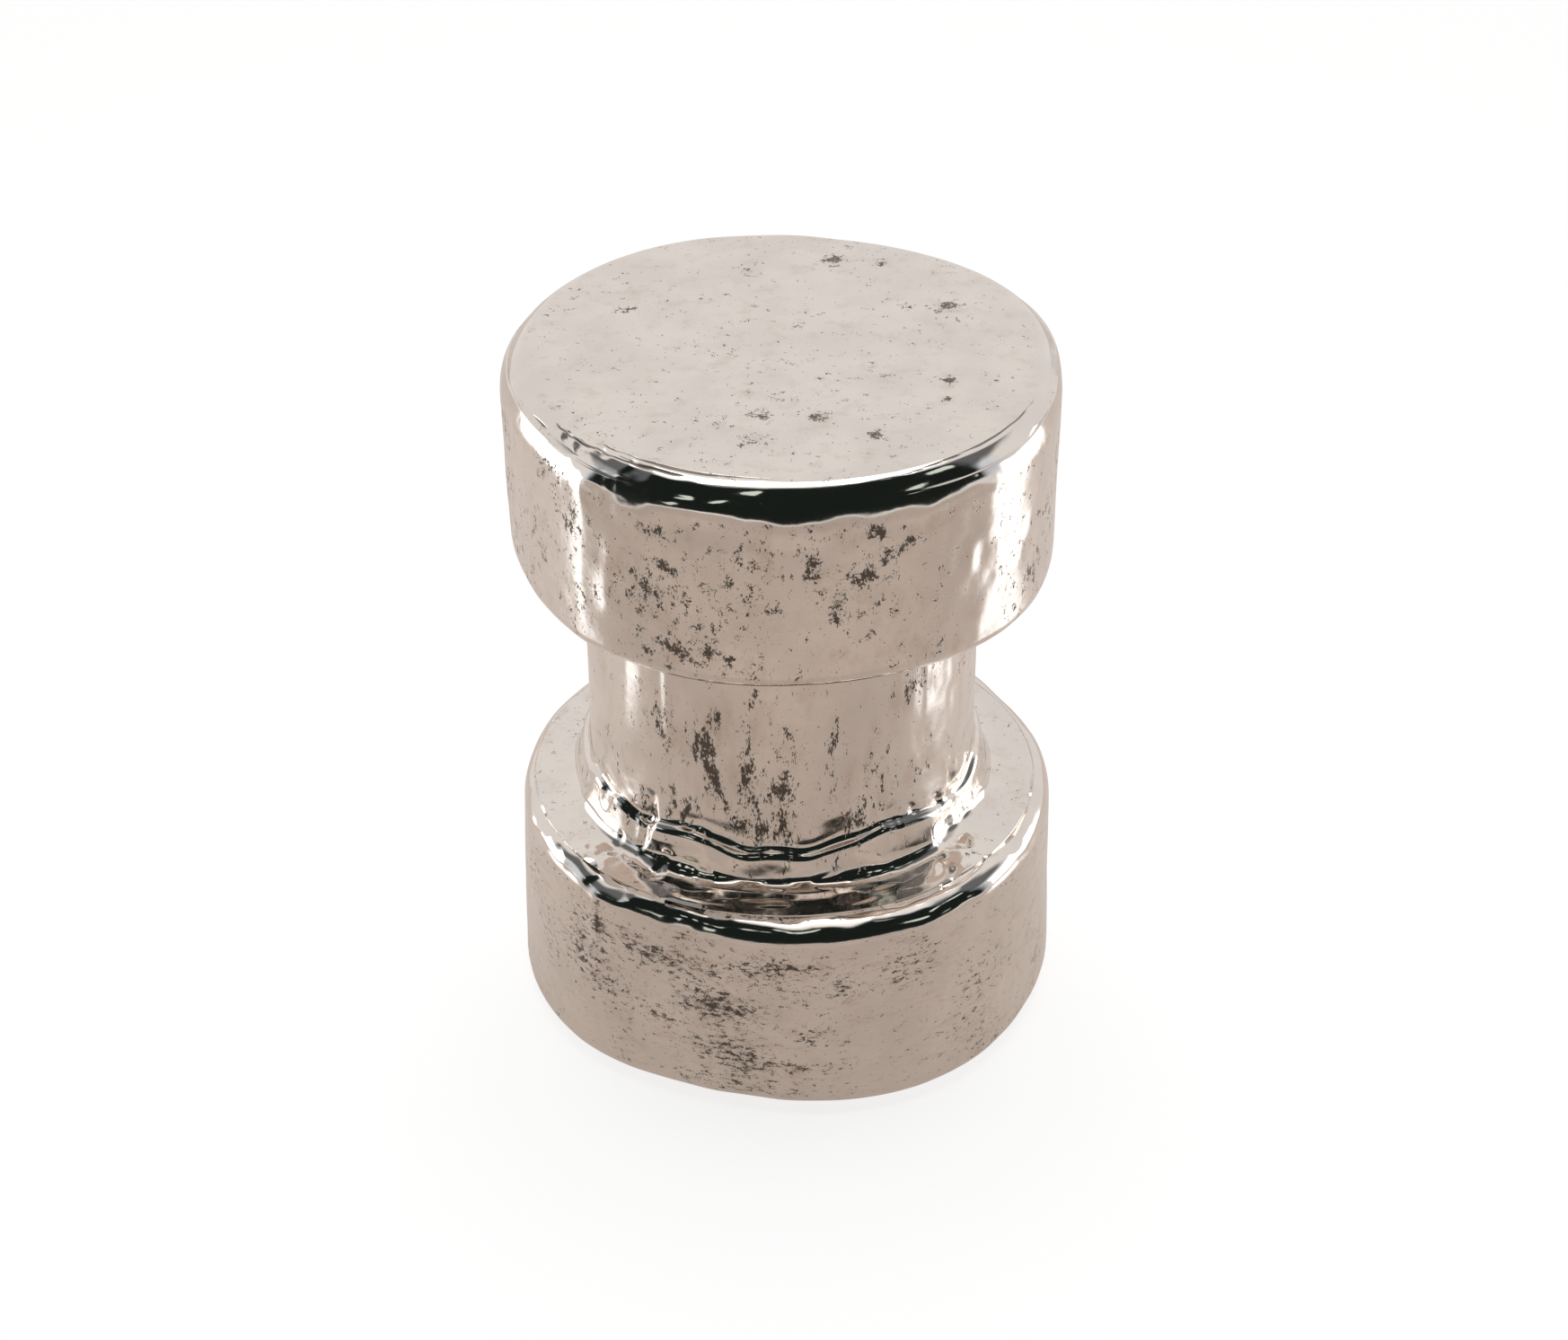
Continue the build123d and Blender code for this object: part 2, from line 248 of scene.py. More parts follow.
@dataclass(frozen=True)
class Crumple:
    """A place where the skin is folded: noise of its own, kept inside a patch."""

    patch: Patch
    layer: Ripple
    sharp: float = 0.0

    def over(self, points: Array, angle: Array, radius: float) -> Array:
        """Patch times noise; `sharp` blends in creases, where the noise changes sign."""
        part = self.patch.over(angle, points[:, 2], radius)
        height = self.layer.over(points)
        folds = self.layer.depth - 2.0 * np.abs(height)
        return part * (height * (1.0 - self.sharp) + folds * self.sharp)


@dataclass(frozen=True)
class Crease:
    """A groove pressed in along a rim, with a low bank outside it.

    Attributes:
        facing: Direction of its middle, in degrees.
        reach: Degrees from its middle to where it has died out.
        radius: Distance from the axis at its middle.
        drift: Millimetres that it moves outwards in each radian.
        width: Half width of the groove.
        depth: Depth of the groove.
        wander: Slow sideways wander, in millimetres.
        seed: Chooses the wander and the changes of depth.
        painted_shade: Strength of the shade painted dark into the groove.
    """

    facing: float
    reach: float
    radius: float
    drift: float
    width: float
    depth: float
    wander: float = 0.6
    seed: int = 1
    painted_shade: float = 1.0

    def trace(self, angle: Array, radius: Array) -> tuple[Array, Array]:
        """Distance of each point across the groove, and the groove's strength there."""
        turn = turn_between(angle, self.facing)
        round_way = circle_points(angle, 5.0)
        slow = lattice_noise(round_way + 11.7 * self.seed, self.seed)
        quick = lattice_noise(round_way * 3.0 + 5.3 * self.seed, self.seed + 50)
        across = radius - self.radius - self.drift * turn - self.wander * (slow + 0.5 * quick)
        reach = math.radians(self.reach)
        along = 1.0 if self.reach >= 180.0 else 1.0 - smooth_step(np.abs(turn), 0.55 * reach, reach)
        return across, along * np.clip(0.7 + 0.9 * slow + 0.6 * quick, 0.0, 1.3)

    def over(self, angle: Array, radius: Array) -> Array:
        """Minus a bell at the groove, plus a quarter of a wider bell outside it."""
        across, strength = self.trace(angle, radius)
        bank = 0.25 * hump(across - 2.2 * self.width, 1.3 * self.width)
        return self.depth * strength * (bank - hump(across, self.width))

    def seam(self, angle: Array, radius: Array) -> Array:
        """Painted shade in the groove, darkest along it: a bell across it."""
        across, strength = self.trace(angle, radius)
        return self.painted_shade * np.clip(strength, 0.0, 1.0) * hump(across, 0.75 * self.width)


@dataclass(frozen=True)
class Spot:
    """A worn place on a flat top: centre, half size, strength."""

    x: float
    y: float
    size: float
    strength: float

    def over(self, x: Array, y: Array) -> Array:
        """Round bell about the centre."""
        return self.strength * np.exp(-((x - self.x) ** 2 + (y - self.y) ** 2) / self.size**2)


# ---- sections and surfaces ----


class Outline:
    """A half section, traced by a pen that runs straight or bends.

    The solid lies on the right of the pen, so the outward normal is its heading plus a
    quarter turn. A bend's degrees are negative when it turns clockwise.
    """

    def __init__(self, radius: float, z: float, heading: float) -> None:
        """Put the pen down at (radius, z), heading in degrees from outwards."""
        self.radius = [radius]
        self.z = [z]
        self.heading = [heading]

    def _to(self, radius: float, z: float, heading: float) -> None:
        """Add a point and the pen's heading there."""
        self.radius.append(radius)
        self.z.append(z)
        self.heading.append(heading)

    def face(self, heading: float) -> "Outline":
        """Turn the pen on the spot to `heading`, for a corner."""
        self.heading[-1] = heading
        return self

    def run(self, length: float, step: float) -> "Outline":
        """Draw straight ahead in equal steps no longer than `step`."""
        count = max(1, math.ceil(length / step))
        way = math.radians(self.heading[-1])
        for _ in range(count):
            self._to(
                self.radius[-1] + math.cos(way) * length / count,
                self.z[-1] + math.sin(way) * length / count,
                self.heading[-1],
            )
        return self

    def run_to_radius(self, radius: float, step: float) -> "Outline":
        """Draw straight ahead until the pen is at `radius`."""
        forward = math.cos(math.radians(self.heading[-1]))
        return self.run(abs((radius - self.radius[-1]) / forward), step)

    def run_to_level(self, z: float, step: float) -> "Outline":
        """Draw straight ahead until the pen is at the level `z`."""
        upward = math.sin(math.radians(self.heading[-1]))
        return self.run(abs((z - self.z[-1]) / upward), step)

    def bend(self, radius: float, degrees: float, step: float) -> "Outline":
        """Draw an arc of `radius` that turns the pen by `degrees`."""
        count = max(1, math.ceil(abs(math.radians(degrees)) * radius / step))
        turn = degrees / count
        chord = 2.0 * radius * math.sin(math.radians(abs(turn)) / 2.0)
        for _ in range(count):
            way = math.radians(self.heading[-1] + turn / 2.0)
            self._to(
                self.radius[-1] + chord * math.cos(way),
                self.z[-1] + chord * math.sin(way),
                self.heading[-1] + turn,
            )
        return self


def edge_width(edge: Edge) -> float:
    """How far in a rounded edge starts, if its arcs (radius, degrees) end upright."""
    left = sum(turn for _, turn in edge)
    width = 0.0
    for radius, turn in edge:
        start, left = left, left - turn
        width += radius * (math.cos(math.radians(left)) - math.cos(math.radians(start)))
    return width


@dataclass
class Surface:
    """Points of a turned surface before it becomes a mesh, with what belongs to them."""

    place: Array
    normal: Array
    faces: list[Array]

    @property
    def angle(self) -> Array:
        """Direction of each point round the axis, in radians."""
        return np.arctan2(self.place[:, 1], self.place[:, 0])

    @property
    def radius(self) -> Array:
        """Distance of each point from the axis."""
        return np.hypot(self.place[:, 0], self.place[:, 1])


def round_grid(across: int, radius: float) -> Array:
    """Disc covered by a square grid whose outermost squares become rings.

    A grid point (a, b) in the square goes to radius max(|a|, |b|) and to the angle that
    its place along its own ring makes of a full turn (the concentric map).

    Args:
        across: Squares along a side.
        radius: Radius of the disc.

    Returns:
        Grid of (across + 1) by (across + 1) points in the plane.
    """
    line = np.linspace(-1.0, 1.0, across + 1)
    a, b = np.meshgrid(line, line, indexing="ij")
    wide = np.abs(a) >= np.abs(b)
    ring = np.where(wide, a, b)
    safe = np.where(ring == 0.0, 1.0, ring)
    quarter = math.pi / 4.0
    angle = np.where(wide, quarter * b / safe, math.pi / 2.0 - quarter * a / safe)
    return np.stack([radius * ring * np.cos(angle), radius * ring * np.sin(angle)], axis=-1)


def ring_order(across: int) -> Array:
    """Indices of a round grid's outermost points, counter-clockwise from -45 degrees."""
    index = np.arange((across + 1) ** 2).reshape(across + 1, across + 1)
    return np.concatenate([index[-1, :-1], index[:0:-1, -1], index[0, :0:-1], index[:-1, 0]])


def quads_between(lower: Array, upper: Array) -> Array:
    """Quads that join two rings of point indices, facing as the pen's rule says."""
    return np.stack([lower, upper, np.roll(upper, -1), np.roll(lower, -1)], axis=-1)


def sweep_round(outline: Outline, columns: int, first_row: int = 0, start: int = 0) -> tuple:
    """Carry an outline round the axis.

    A point of the outline at radius r and level z becomes a ring of points
    (r cos a, r sin a, z), with a evenly spaced from -45 degrees.

    Args:
        outline: The half section.
        columns: Points in each ring.
        first_row: First point of the outline that gets a ring.
        start: Index of the first new point.

    Returns:
        Places, normals and the array of rings of point indices.
    """
    radius = np.array(outline.radius[first_row:])[:, None]
    z = np.array(outline.z[first_row:])[:, None]
    facing = np.radians(np.array(outline.heading[first_row:]) + 90.0)[:, None]
    angle = -math.pi / 4.0 + 2.0 * math.pi * np.arange(columns)[None, :] / columns
    cosine, sine = np.cos(angle), np.sin(angle)
    flat = np.ones_like(angle)
    place = np.stack([radius * cosine, radius * sine, z * flat], axis=-1).reshape(-1, 3)
    out = np.cos(facing)
    normal = np.stack([out * cosine, out * sine, np.sin(facing) * flat], axis=-1).reshape(-1, 3)
    rings = start + np.arange(len(place)).reshape(-1, columns)
    return place, normal, rings


def closed_ring_surface(outline: Outline, columns: int) -> Surface:
    """Surface of an outline whose last point runs back to its first."""
    place, normal, rings = sweep_round(outline, columns)
    faces = [quads_between(lower, upper) for lower, upper in zip(rings, np.roll(rings, -1, axis=0))]
    return Surface(place, normal, faces)


def capped_surface(outline: Outline, across: int) -> Surface:
    """Surface closed by a round grid at the start and by a fan of triangles at the end."""
    grid = round_grid(across, outline.radius[0]).reshape(-1, 2)
    top = np.column_stack([grid, np.full(len(grid), outline.z[0])])
    up = np.tile([0.0, 0.0, 1.0], (len(top), 1))
    columns = 4 * across
    place, normal, rings = sweep_round(outline, columns, 1, len(top))
    rings = np.vstack([ring_order(across)[None, :], rings])
    index = np.arange((across + 1) ** 2).reshape(across + 1, across + 1)
    corners = [index[:-1, :-1], index[1:, :-1], index[1:, 1:], index[:-1, 1:]]
    faces = [np.stack(corners, axis=-1).reshape(-1, 4)]
    faces += [quads_between(lower, upper) for lower, upper in zip(rings, rings[1:])]
    middle = len(top) + len(place)
    last = rings[-1]
    faces.append(np.stack([last, np.full(columns, middle), np.roll(last, -1)], axis=-1))
    centre = np.array([[0.0, 0.0, outline.z[-1]]])
    down = np.array([[0.0, 0.0, -1.0]])
    return Surface(np.vstack([top, place, centre]), np.vstack([up, normal, down]), faces)


def tube_surface(outer: float, inner: float, low: float, high: float) -> Surface:
    """Upright tube round the axis: a tapped boss, for one."""
    pen = Outline(inner, high, 0.0).run_to_radius(outer, outer)
    pen.face(-90.0).run_to_level(low, high - low)
    pen.face(-180.0).run_to_radius(inner, outer)
    return closed_ring_surface(pen, columns=36)


def add_mesh(
    name: str, surfaces: list[Surface], attributes: dict[str, Array]
) -> bpy.types.Object:
    """Make one object of several surfaces.

    Args:
        name: Name of the piece.
        surfaces: Its surfaces, in millimetres.
        attributes: Values for each point of the first surface, by attribute name.

    Returns:
        The new object, at the origin, with its place in its mesh.
    """
    place = np.vstack([surface.place for surface in surfaces]) * MM
    loops, starts, sizes = [], [], []
    offset, begun = 0, 0
    for surface in surfaces:
        for block in surface.faces:
            loops.append((block + offset).ravel())
            starts.append(begun + np.arange(len(block)) * block.shape[1])
            sizes.append(np.full(len(block), block.shape[1]))
            begun += block.size
        offset += len(surface.place)
    mesh = bpy.data.meshes.new(name)
    mesh.vertices.add(len(place))
    mesh.vertices.foreach_set("co", place.ravel().astype(np.float32))
    mesh.loops.add(begun)
    mesh.loops.foreach_set("vertex_index", np.concatenate(loops).astype(np.int32))
    mesh.polygons.add(sum(len(part) for part in starts))
    mesh.polygons.foreach_set("loop_start", np.concatenate(starts).astype(np.int32))
    mesh.polygons.foreach_set("loop_total", np.concatenate(sizes).astype(np.int32))
    mesh.update(calc_edges=True)
    mesh.validate()
    mesh.shade_smooth()
    for label, values in attributes.items():
        layer = mesh.attributes.new(label, "FLOAT", "POINT")
        full = np.zeros(len(place), np.float32)
        full[: len(values)] = values
        layer.data.foreach_set("value", full)
    piece = bpy.data.objects.new(name, mesh)
    bpy.context.scene.collection.objects.link(piece)
    return piece


# ---- finishes ----


class Wire:
    """A shader socket that takes part in Python arithmetic."""

    def __init__(self, bench: "Bench", socket: bpy.types.NodeSocket) -> None:
        """Wrap a socket of the bench's node tree."""
        self.bench = bench
        self.socket = socket

    def _maths(self, operation: str, first: "Wire | float", second: "Wire | float") -> "Wire":
        """Result of a maths node on two values."""
        return self.bench.node("ShaderNodeMath", {"operation": operation}, {0: first, 1: second})

    def __add__(self, other: "Wire | float") -> "Wire":
        """Sum."""
        return self._maths("ADD", self, other)

    __radd__ = __add__

    def __mul__(self, other: "Wire | float") -> "Wire":
        """Product."""
        return self._maths("MULTIPLY", self, other)

    def __sub__(self, other: "Wire | float") -> "Wire":
        """Difference."""
        return self._maths("SUBTRACT", self, other)

    def __rsub__(self, other: "Wire | float") -> "Wire":
        """Difference from a number."""
        return self._maths("SUBTRACT", other, self)

    def __truediv__(self, other: "Wire | float") -> "Wire":
        """Quotient."""
        return self._maths("DIVIDE", self, other)

    def __pow__(self, other: "Wire | float") -> "Wire":
        """Power."""
        return self._maths("POWER", self, other)

    def ramp(self, low: float, high: float, start: float = 0.0, end: float = 1.0) -> "Wire":
        """Map low..high to start..end, smoothly and no further."""
        return self.bench.node(
            "ShaderNodeMapRange",
            {"interpolation_type": "SMOOTHSTEP"},
            {"Value": self, "From Min": low, "From Max": high, "To Min": start, "To Max": end},
        )

    def between(self, start: float, full: float, fade: float, end: float) -> "Wire":
        """One from `full` to `fade`, and smoothly down to zero at `start` and at `end`."""
        return self.ramp(start, full) * (1.0 - self.ramp(fade, end))


class Bench:
    """A node tree and the few moves that build it."""

    def __init__(self, tree: bpy.types.NodeTree) -> None:
        """Clear the tree."""
        self.tree = tree
        self.tree.nodes.clear()

    def node(
        self,
        kind: str,
        settings: dict | None = None,
        values: dict | None = None,
        out: int | str = 0,
    ) -> Wire:
        """Add a node.

        Args:
            kind: Type of the node.
            settings: Properties of the node, set first.
            values: Numbers, colours or wires for its sockets, by name or index.
            out: Which output to hand back.

        Returns:
            The output as a wire.
        """
        node = self.tree.nodes.new(kind)
        for label, setting in (settings or {}).items():
            setattr(node, label, setting)
        for label, value in (values or {}).items():
            self._plug(node.inputs[label], value)
        return Wire(self, node.outputs[out])

    def _plug(self, socket: bpy.types.NodeSocket, value: object) -> None:
        """Join a wire to a socket, or set the socket's own value."""
        if isinstance(value, Wire):
            self.tree.links.new(value.socket, socket)
        elif isinstance(value, tuple) and len(value) == 3 and socket.type == "RGBA":
            socket.default_value = (*value, 1.0)
        else:
            socket.default_value = value

    def place(self, stretch: Triple = (1.0, 1.0, 1.0)) -> Wire:
        """Object coordinates, scaled by `stretch`."""
        coordinates = self.node("ShaderNodeTexCoord", out="Object")
        return self.node("ShaderNodeMapping", None, {"Vector": coordinates, "Scale": stretch})

    def part(self, vector: Wire, axis: int) -> Wire:
        """One of a vector's three numbers."""
        return self.node("ShaderNodeSeparateXYZ", None, {0: vector}, out=axis)

    def attribute(self, name: str) -> Wire:
        """A value that the mesh carries at its points."""
        return self.node("ShaderNodeAttribute", {"attribute_name": name}, out="Fac")

    def noise(
        self, place: Wire, wavelength: float, detail: float = 2.0, rough: float = 0.5
    ) -> Wire:
        """Noise from 0 to 1 with features about `wavelength` millimetres across."""
        scale = 1.0 / (wavelength * MM)
        values = {"Vector": place, "Scale": scale, "Detail": detail, "Roughness": rough}
        return self.node("ShaderNodeTexNoise", {"noise_dimensions": "3D"}, values)

    def mix(self, share: "Wire | float", first: object, second: object) -> Wire:
        """Colour between two colours."""
        node = self.tree.nodes.new("ShaderNodeMix")
        node.data_type = "RGBA"
        self._plug(node.inputs[0], share)
        self._plug(node.inputs[6], first)
        self._plug(node.inputs[7], second)
        return Wire(self, node.outputs[2])

    def bump(
        self, height: Wire, distance: float, strength: float = 1.0, under: Wire | None = None
    ) -> Wire:
        """Bump of `distance` millimetres for a height of one."""
        values = {"Height": height, "Distance": distance * MM, "Strength": strength}
        if under is not None:
            values["Normal"] = under
        return self.node("ShaderNodeBump", None, values)


class MaterialBench(Bench):
    """The node tree of a material with one Principled shader."""

    def __init__(self, name: str) -> None:
        """Start the material and join its shader to its output."""
        self.material = bpy.data.materials.new(name)
        self.material.use_nodes = True
        super().__init__(self.material.node_tree)
        self.shader = self.tree.nodes.new("ShaderNodeBsdfPrincipled")
        output = self.tree.nodes.new("ShaderNodeOutputMaterial")
        self.tree.links.new(self.shader.outputs["BSDF"], output.inputs["Surface"])

    def finish(self, **inputs: object) -> bpy.types.Material:
        """Set the Principled shader's sockets, spaces in their names written as _."""
        for label, value in inputs.items():
            self._plug(self.shader.inputs[label.replace("_", " ")], value)
        return self.material


def shaded(colour: Triple, factor: float) -> Triple:
    """A colour made lighter or darker by a factor, and never lighter than one."""
    return tuple(min(1.0, part * factor) for part in colour)


class PitRun(Enum):
    """Which way the casting pits are drawn out."""

    UPRIGHT = (1.0, 1.0, 0.42)
    SLIGHTLY_UPRIGHT = (1.0, 1.0, 0.75)
    LEVEL = (1.0, 1.0, 2.0)


@dataclass(frozen=True)
class PolishedCasting:
    """Cast aluminium, polished by hand, with dull pits where the casting was open."""

    name: str
    run: PitRun
    metal: Triple = (0.84, 0.775, 0.72)
    pit: Triple = (0.15, 0.122, 0.1)
    tan: Triple = (0.62, 0.52, 0.44)
    gloss: float = 0.05
    haze: float = 0.08
    pit_level: tuple[float, float] = (0.605, 0.65)
    speck_level: tuple[float, float] = (0.795, 0.84)

    def material(self) -> bpy.types.Material:
        """Pits are where ragged noise passes a level that the wear lowers.

        Specks are the same test on finer noise. Both are dark, dull and sunk in. Round
        them the metal is a little duller, and slow clouds change its tone everywhere.
        """
        bench = MaterialBench(self.name)
        place = bench.place()
        drawn = bench.place(self.run.value)
        wear = bench.attribute("wear")
        wall = bench.attribute("wall")
        blotch = bench.noise(drawn, 6.0, 6.0, 0.72)
        grain = bench.noise(drawn, 1.1, 2.0, 0.6)
        ragged = blotch * 0.72 + grain * 0.28 + wear * 0.2
        pits = ragged.ramp(*self.pit_level)
        fine = bench.noise(place, 1.5, 1.0, 0.6) + wear * 0.16 + wall * 0.03
        speck = fine.ramp(*self.speck_level)
        # Painted shade: the creases are darkened towards the pit colour, along with the pits, which
        # are the metal's own.
        seam = bench.attribute("seam")
        dark = self.either(self.either(pits, speck * 0.7), seam.ramp(0.25, 0.75) * 0.9)
        worn = bench.noise(drawn, 15.0, 3.0, 0.6) + wear * 0.2
        cloud = bench.noise(place, 42.0, 3.0, 0.55)
        smear = bench.noise(place, 9.0, 3.0, 0.6)
        metal = bench.mix(cloud.ramp(0.35, 0.65), self.metal, shaded(self.metal, 0.93))
        tanned = bench.mix(worn.ramp(0.5, 0.8) * 0.45, metal, self.tan)
        colour = bench.mix(dark, tanned, self.pit)
        hazy = wall * (self.haze + smear.ramp(0.4, 0.7) * 0.06)
        rough = cloud.ramp(0.3, 0.7, self.gloss, self.gloss + 0.04) + hazy + dark * 0.3
        waves = bench.noise(place, 14.0, 2.0, 0.5) * (wall * 0.75 + 0.25)
        swell = bench.bump(waves, distance=0.3)
        dints = bench.noise(place, 3.2, 2.0, 0.55) * (wall * 0.7 + 0.3)
        peen = bench.bump(dints, distance=0.03, under=swell)
        normal = bench.bump(1.0 - dark, distance=0.4, strength=0.7, under=peen)
        metallic = 1.0 - dark * 0.3
        return bench.finish(Base_Color=colour, Metallic=metallic, Roughness=rough, Normal=normal)

    def either(self, first: Wire, second: Wire) -> Wire:
        """One or the other: one minus the product of what neither takes."""
        return 1.0 - (1.0 - first) * (1.0 - second)


@dataclass(frozen=True)
class MachinedMetal:
    """Plated, ground or turned metal with fine tool marks."""

    name: str
    colour: Triple
    rough: float

    def material(self) -> bpy.types.Material:
        """Two scales of noise: blotches vary colour and gloss, tool marks the bump."""
        bench = MaterialBench(self.name)
        place = bench.place()
        blotch = bench.noise(place, 9.0, 3.0)
        marks = bench.noise(bench.place(UPRIGHT_GRAIN), 3.0, 2.0)
        colour = bench.mix(blotch.ramp(0.3, 0.7), self.colour, shaded(self.colour, 0.82))
        rough = blotch.ramp(0.3, 0.7, self.rough, self.rough + 0.14)
        normal = bench.bump(marks, distance=0.03)
        return bench.finish(Base_Color=colour, Metallic=1.0, Roughness=rough, Normal=normal)


@dataclass(frozen=True)
class PowderCoat:
    """Sprayed and baked paint with a fine orange-peel texture."""

    name: str
    colour: Triple

    def material(self) -> bpy.types.Material:
        """Colour drifts slowly, and small noise gives the peel."""
        bench = MaterialBench(self.name)
        place = bench.place()
        drift = bench.noise(place, 30.0, 2.0)
        peel = bench.noise(place, 1.1, 1.0)
        colour = bench.mix(drift.ramp(0.3, 0.7), self.colour, shaded(self.colour, 1.35))
        rough = peel.ramp(0.3, 0.7, 0.42, 0.6)
        normal = bench.bump(peel, distance=0.06)
        return bench.finish(Base_Color=colour, Roughness=rough, Normal=normal)


@dataclass(frozen=True)
class MouldedNylon:
    """Dark moulded nylon, scuffed where it stands on the floor."""

    name: str
    colour: Triple

    def material(self) -> bpy.types.Material:
        """Scuffs are thresholded noise that lightens and dulls the plastic."""
        bench = MaterialBench(self.name)
        place = bench.place()
        scuff = bench.noise(place, 4.0, 4.0, 0.7).ramp(0.52, 0.7)
        grain = bench.noise(place, 0.7, 1.0)
        colour = bench.mix(scuff, self.colour, shaded(self.colour, 2.2))
        rough = scuff.ramp(0.0, 1.0, 0.48, 0.72)
        normal = bench.bump(grain, distance=0.03)
        return bench.finish(Base_Color=colour, Roughness=rough, Normal=normal)


# ---- castings ----


@dataclass
class Casting:
    """What the three castings share: layers of unevenness and worn places.

    Attributes:
        node: The CAD node that the casting stands for.
        finish: Its polish and its pits.
        wall: Thickness of its wall.
        sways: Cells, height and seed of each slow rise and fall round the drum.
        wear_everywhere: Wear between the patches.
        wear_seed: Chooses the drift of the wear.
        buffed: How much less wear there is on the rounded edge.
        outer_rows: Points of the outline on the outside, counted when it is drawn.
    """

    node: str
    finish: PolishedCasting
    wall: float = 5.5
    ripples: tuple[Ripple, ...] = ()
    lobes: tuple[Lobe, ...] = ()
    ridges: tuple[Ridge, ...] = ()
    kinks: tuple[Kink, ...] = ()
    crumples: tuple[Crumple, ...] = ()
    creases: tuple[Crease, ...] = ()
    sways: tuple[tuple[float, float, int], ...] = ()
    patches: tuple[Patch, ...] = ()
    spots: tuple[Spot, ...] = ()
    wear_everywhere: float = 0.15
    wear_seed: int = 1
    buffed: float = 0.6
    outer_rows: int = 0

    def __post_init__(self) -> None:
        """Read the casting's place and size from the frame, in millimetres."""
        low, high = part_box(self.node)
        self.low = low.z / MM
        self.high = high.z / MM
        self.widest = (high.x - low.x) / 2.0 / MM

    def wall_share(self, skin: Surface) -> Array:
        """One where the surface stands upright, zero where it lies flat."""
        return 1.0 - smooth_step(np.abs(skin.normal[:, 2]), 0.12, 0.5)

    def wear(self, skin: Surface) -> Array:
        """Crowding of pits at each point: the worn places, broken up by slow noise."""
        z, angle = skin.place[:, 2], skin.angle
        on_wall = self.wall_share(skin)
        total = self.wear_everywhere * (0.1 + 0.9 * on_wall)
        for patch in self.patches:
            total += patch.over(angle, z, self.widest) * on_wall
        facing_up = skin.normal[:, 2] > 0.7
        for spot in self.spots:
            total += 0.85 * spot.over(skin.place[:, 0], skin.place[:, 1]) * facing_up
        drift = lattice_noise(skin.place / 34.0 + 3.7, self.wear_seed)
        total += 0.25 * drift * (0.4 + 0.6 * on_wall)
        return np.clip(total, 0.0, 1.0) - self.buffed * self.edge_share(skin)

    def edge_share(self, skin: Surface) -> Array:
        """One on the rounded top edge, which is polished the most."""
        return between(skin.normal[:, 2], 0.12, 0.32, 0.88, 0.98)

    def relief(self, skin: Surface) -> Array:
        """Height added along the normal: ripples, ridges, kinks, crumples, creases."""
        z, angle, radius = skin.place[:, 2], skin.angle, skin.radius
        total = sum(layer.over(skin.place) for layer in self.ripples)
        for line in (*self.ridges, *self.kinks):
            total += line.over(angle, z, self.widest)
        for crumple in self.crumples:
            total += crumple.over(skin.place, angle, self.widest)
        facing_up = smooth_step(skin.normal[:, 2], 0.2, 0.6)
        for crease in self.creases:
            total += crease.over(angle, radius) * facing_up
        return total

    def sway(self, skin: Surface) -> Array:
        """Sum of the sways at each point: height times noise on a circle of `cells`."""
        return sum(
            height * lattice_noise(circle_points(skin.angle, cells) + 3.1 * seed, seed)
            for cells, height, seed in self.sways
        )

    def crease_shading(self, skin: Surface) -> Array:
        """Shade painted dark into the creases, where the surface faces up."""
        total = np.zeros(len(skin.place))
        for crease in self.creases:
            total += crease.seam(skin.angle, skin.radius)
        return np.clip(total, 0.0, 1.0) * smooth_step(skin.normal[:, 2], 0.2, 0.6)

    def spread(self, skin: Surface, share: Array) -> Array:
        """Sideways stretch of each point: one plus lobes over radius, times share."""
        swell = sum(lobe.around(skin.angle) for lobe in self.lobes)
        return 1.0 + share * swell / self.widest

    def push_out(self, skin: Surface, outer: Array) -> None:
        """Raise the skin along its normals by the relief, times the share `outer`."""
        skin.place += skin.normal * (self.relief(skin) * outer)[:, None]

    def place_piece(self, skin: Surface, extras: tuple[Surface, ...] = ()) -> bpy.types.Object:
        """Make the mesh, dress it, and let it stand for the CAD casting."""
        values = {"wear": self.wear(skin), "wall": self.wall_share(skin), "seam": self.crease_shading(skin)}
        piece = add_mesh(f"{self.node}_skin", [skin, *extras], values)
        piece.data.materials.append(self.finish.material())
        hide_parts(self.node)
        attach(piece, "root")
        LOG.info("%s: %d points", piece.name, len(piece.data.vertices))
        return piece


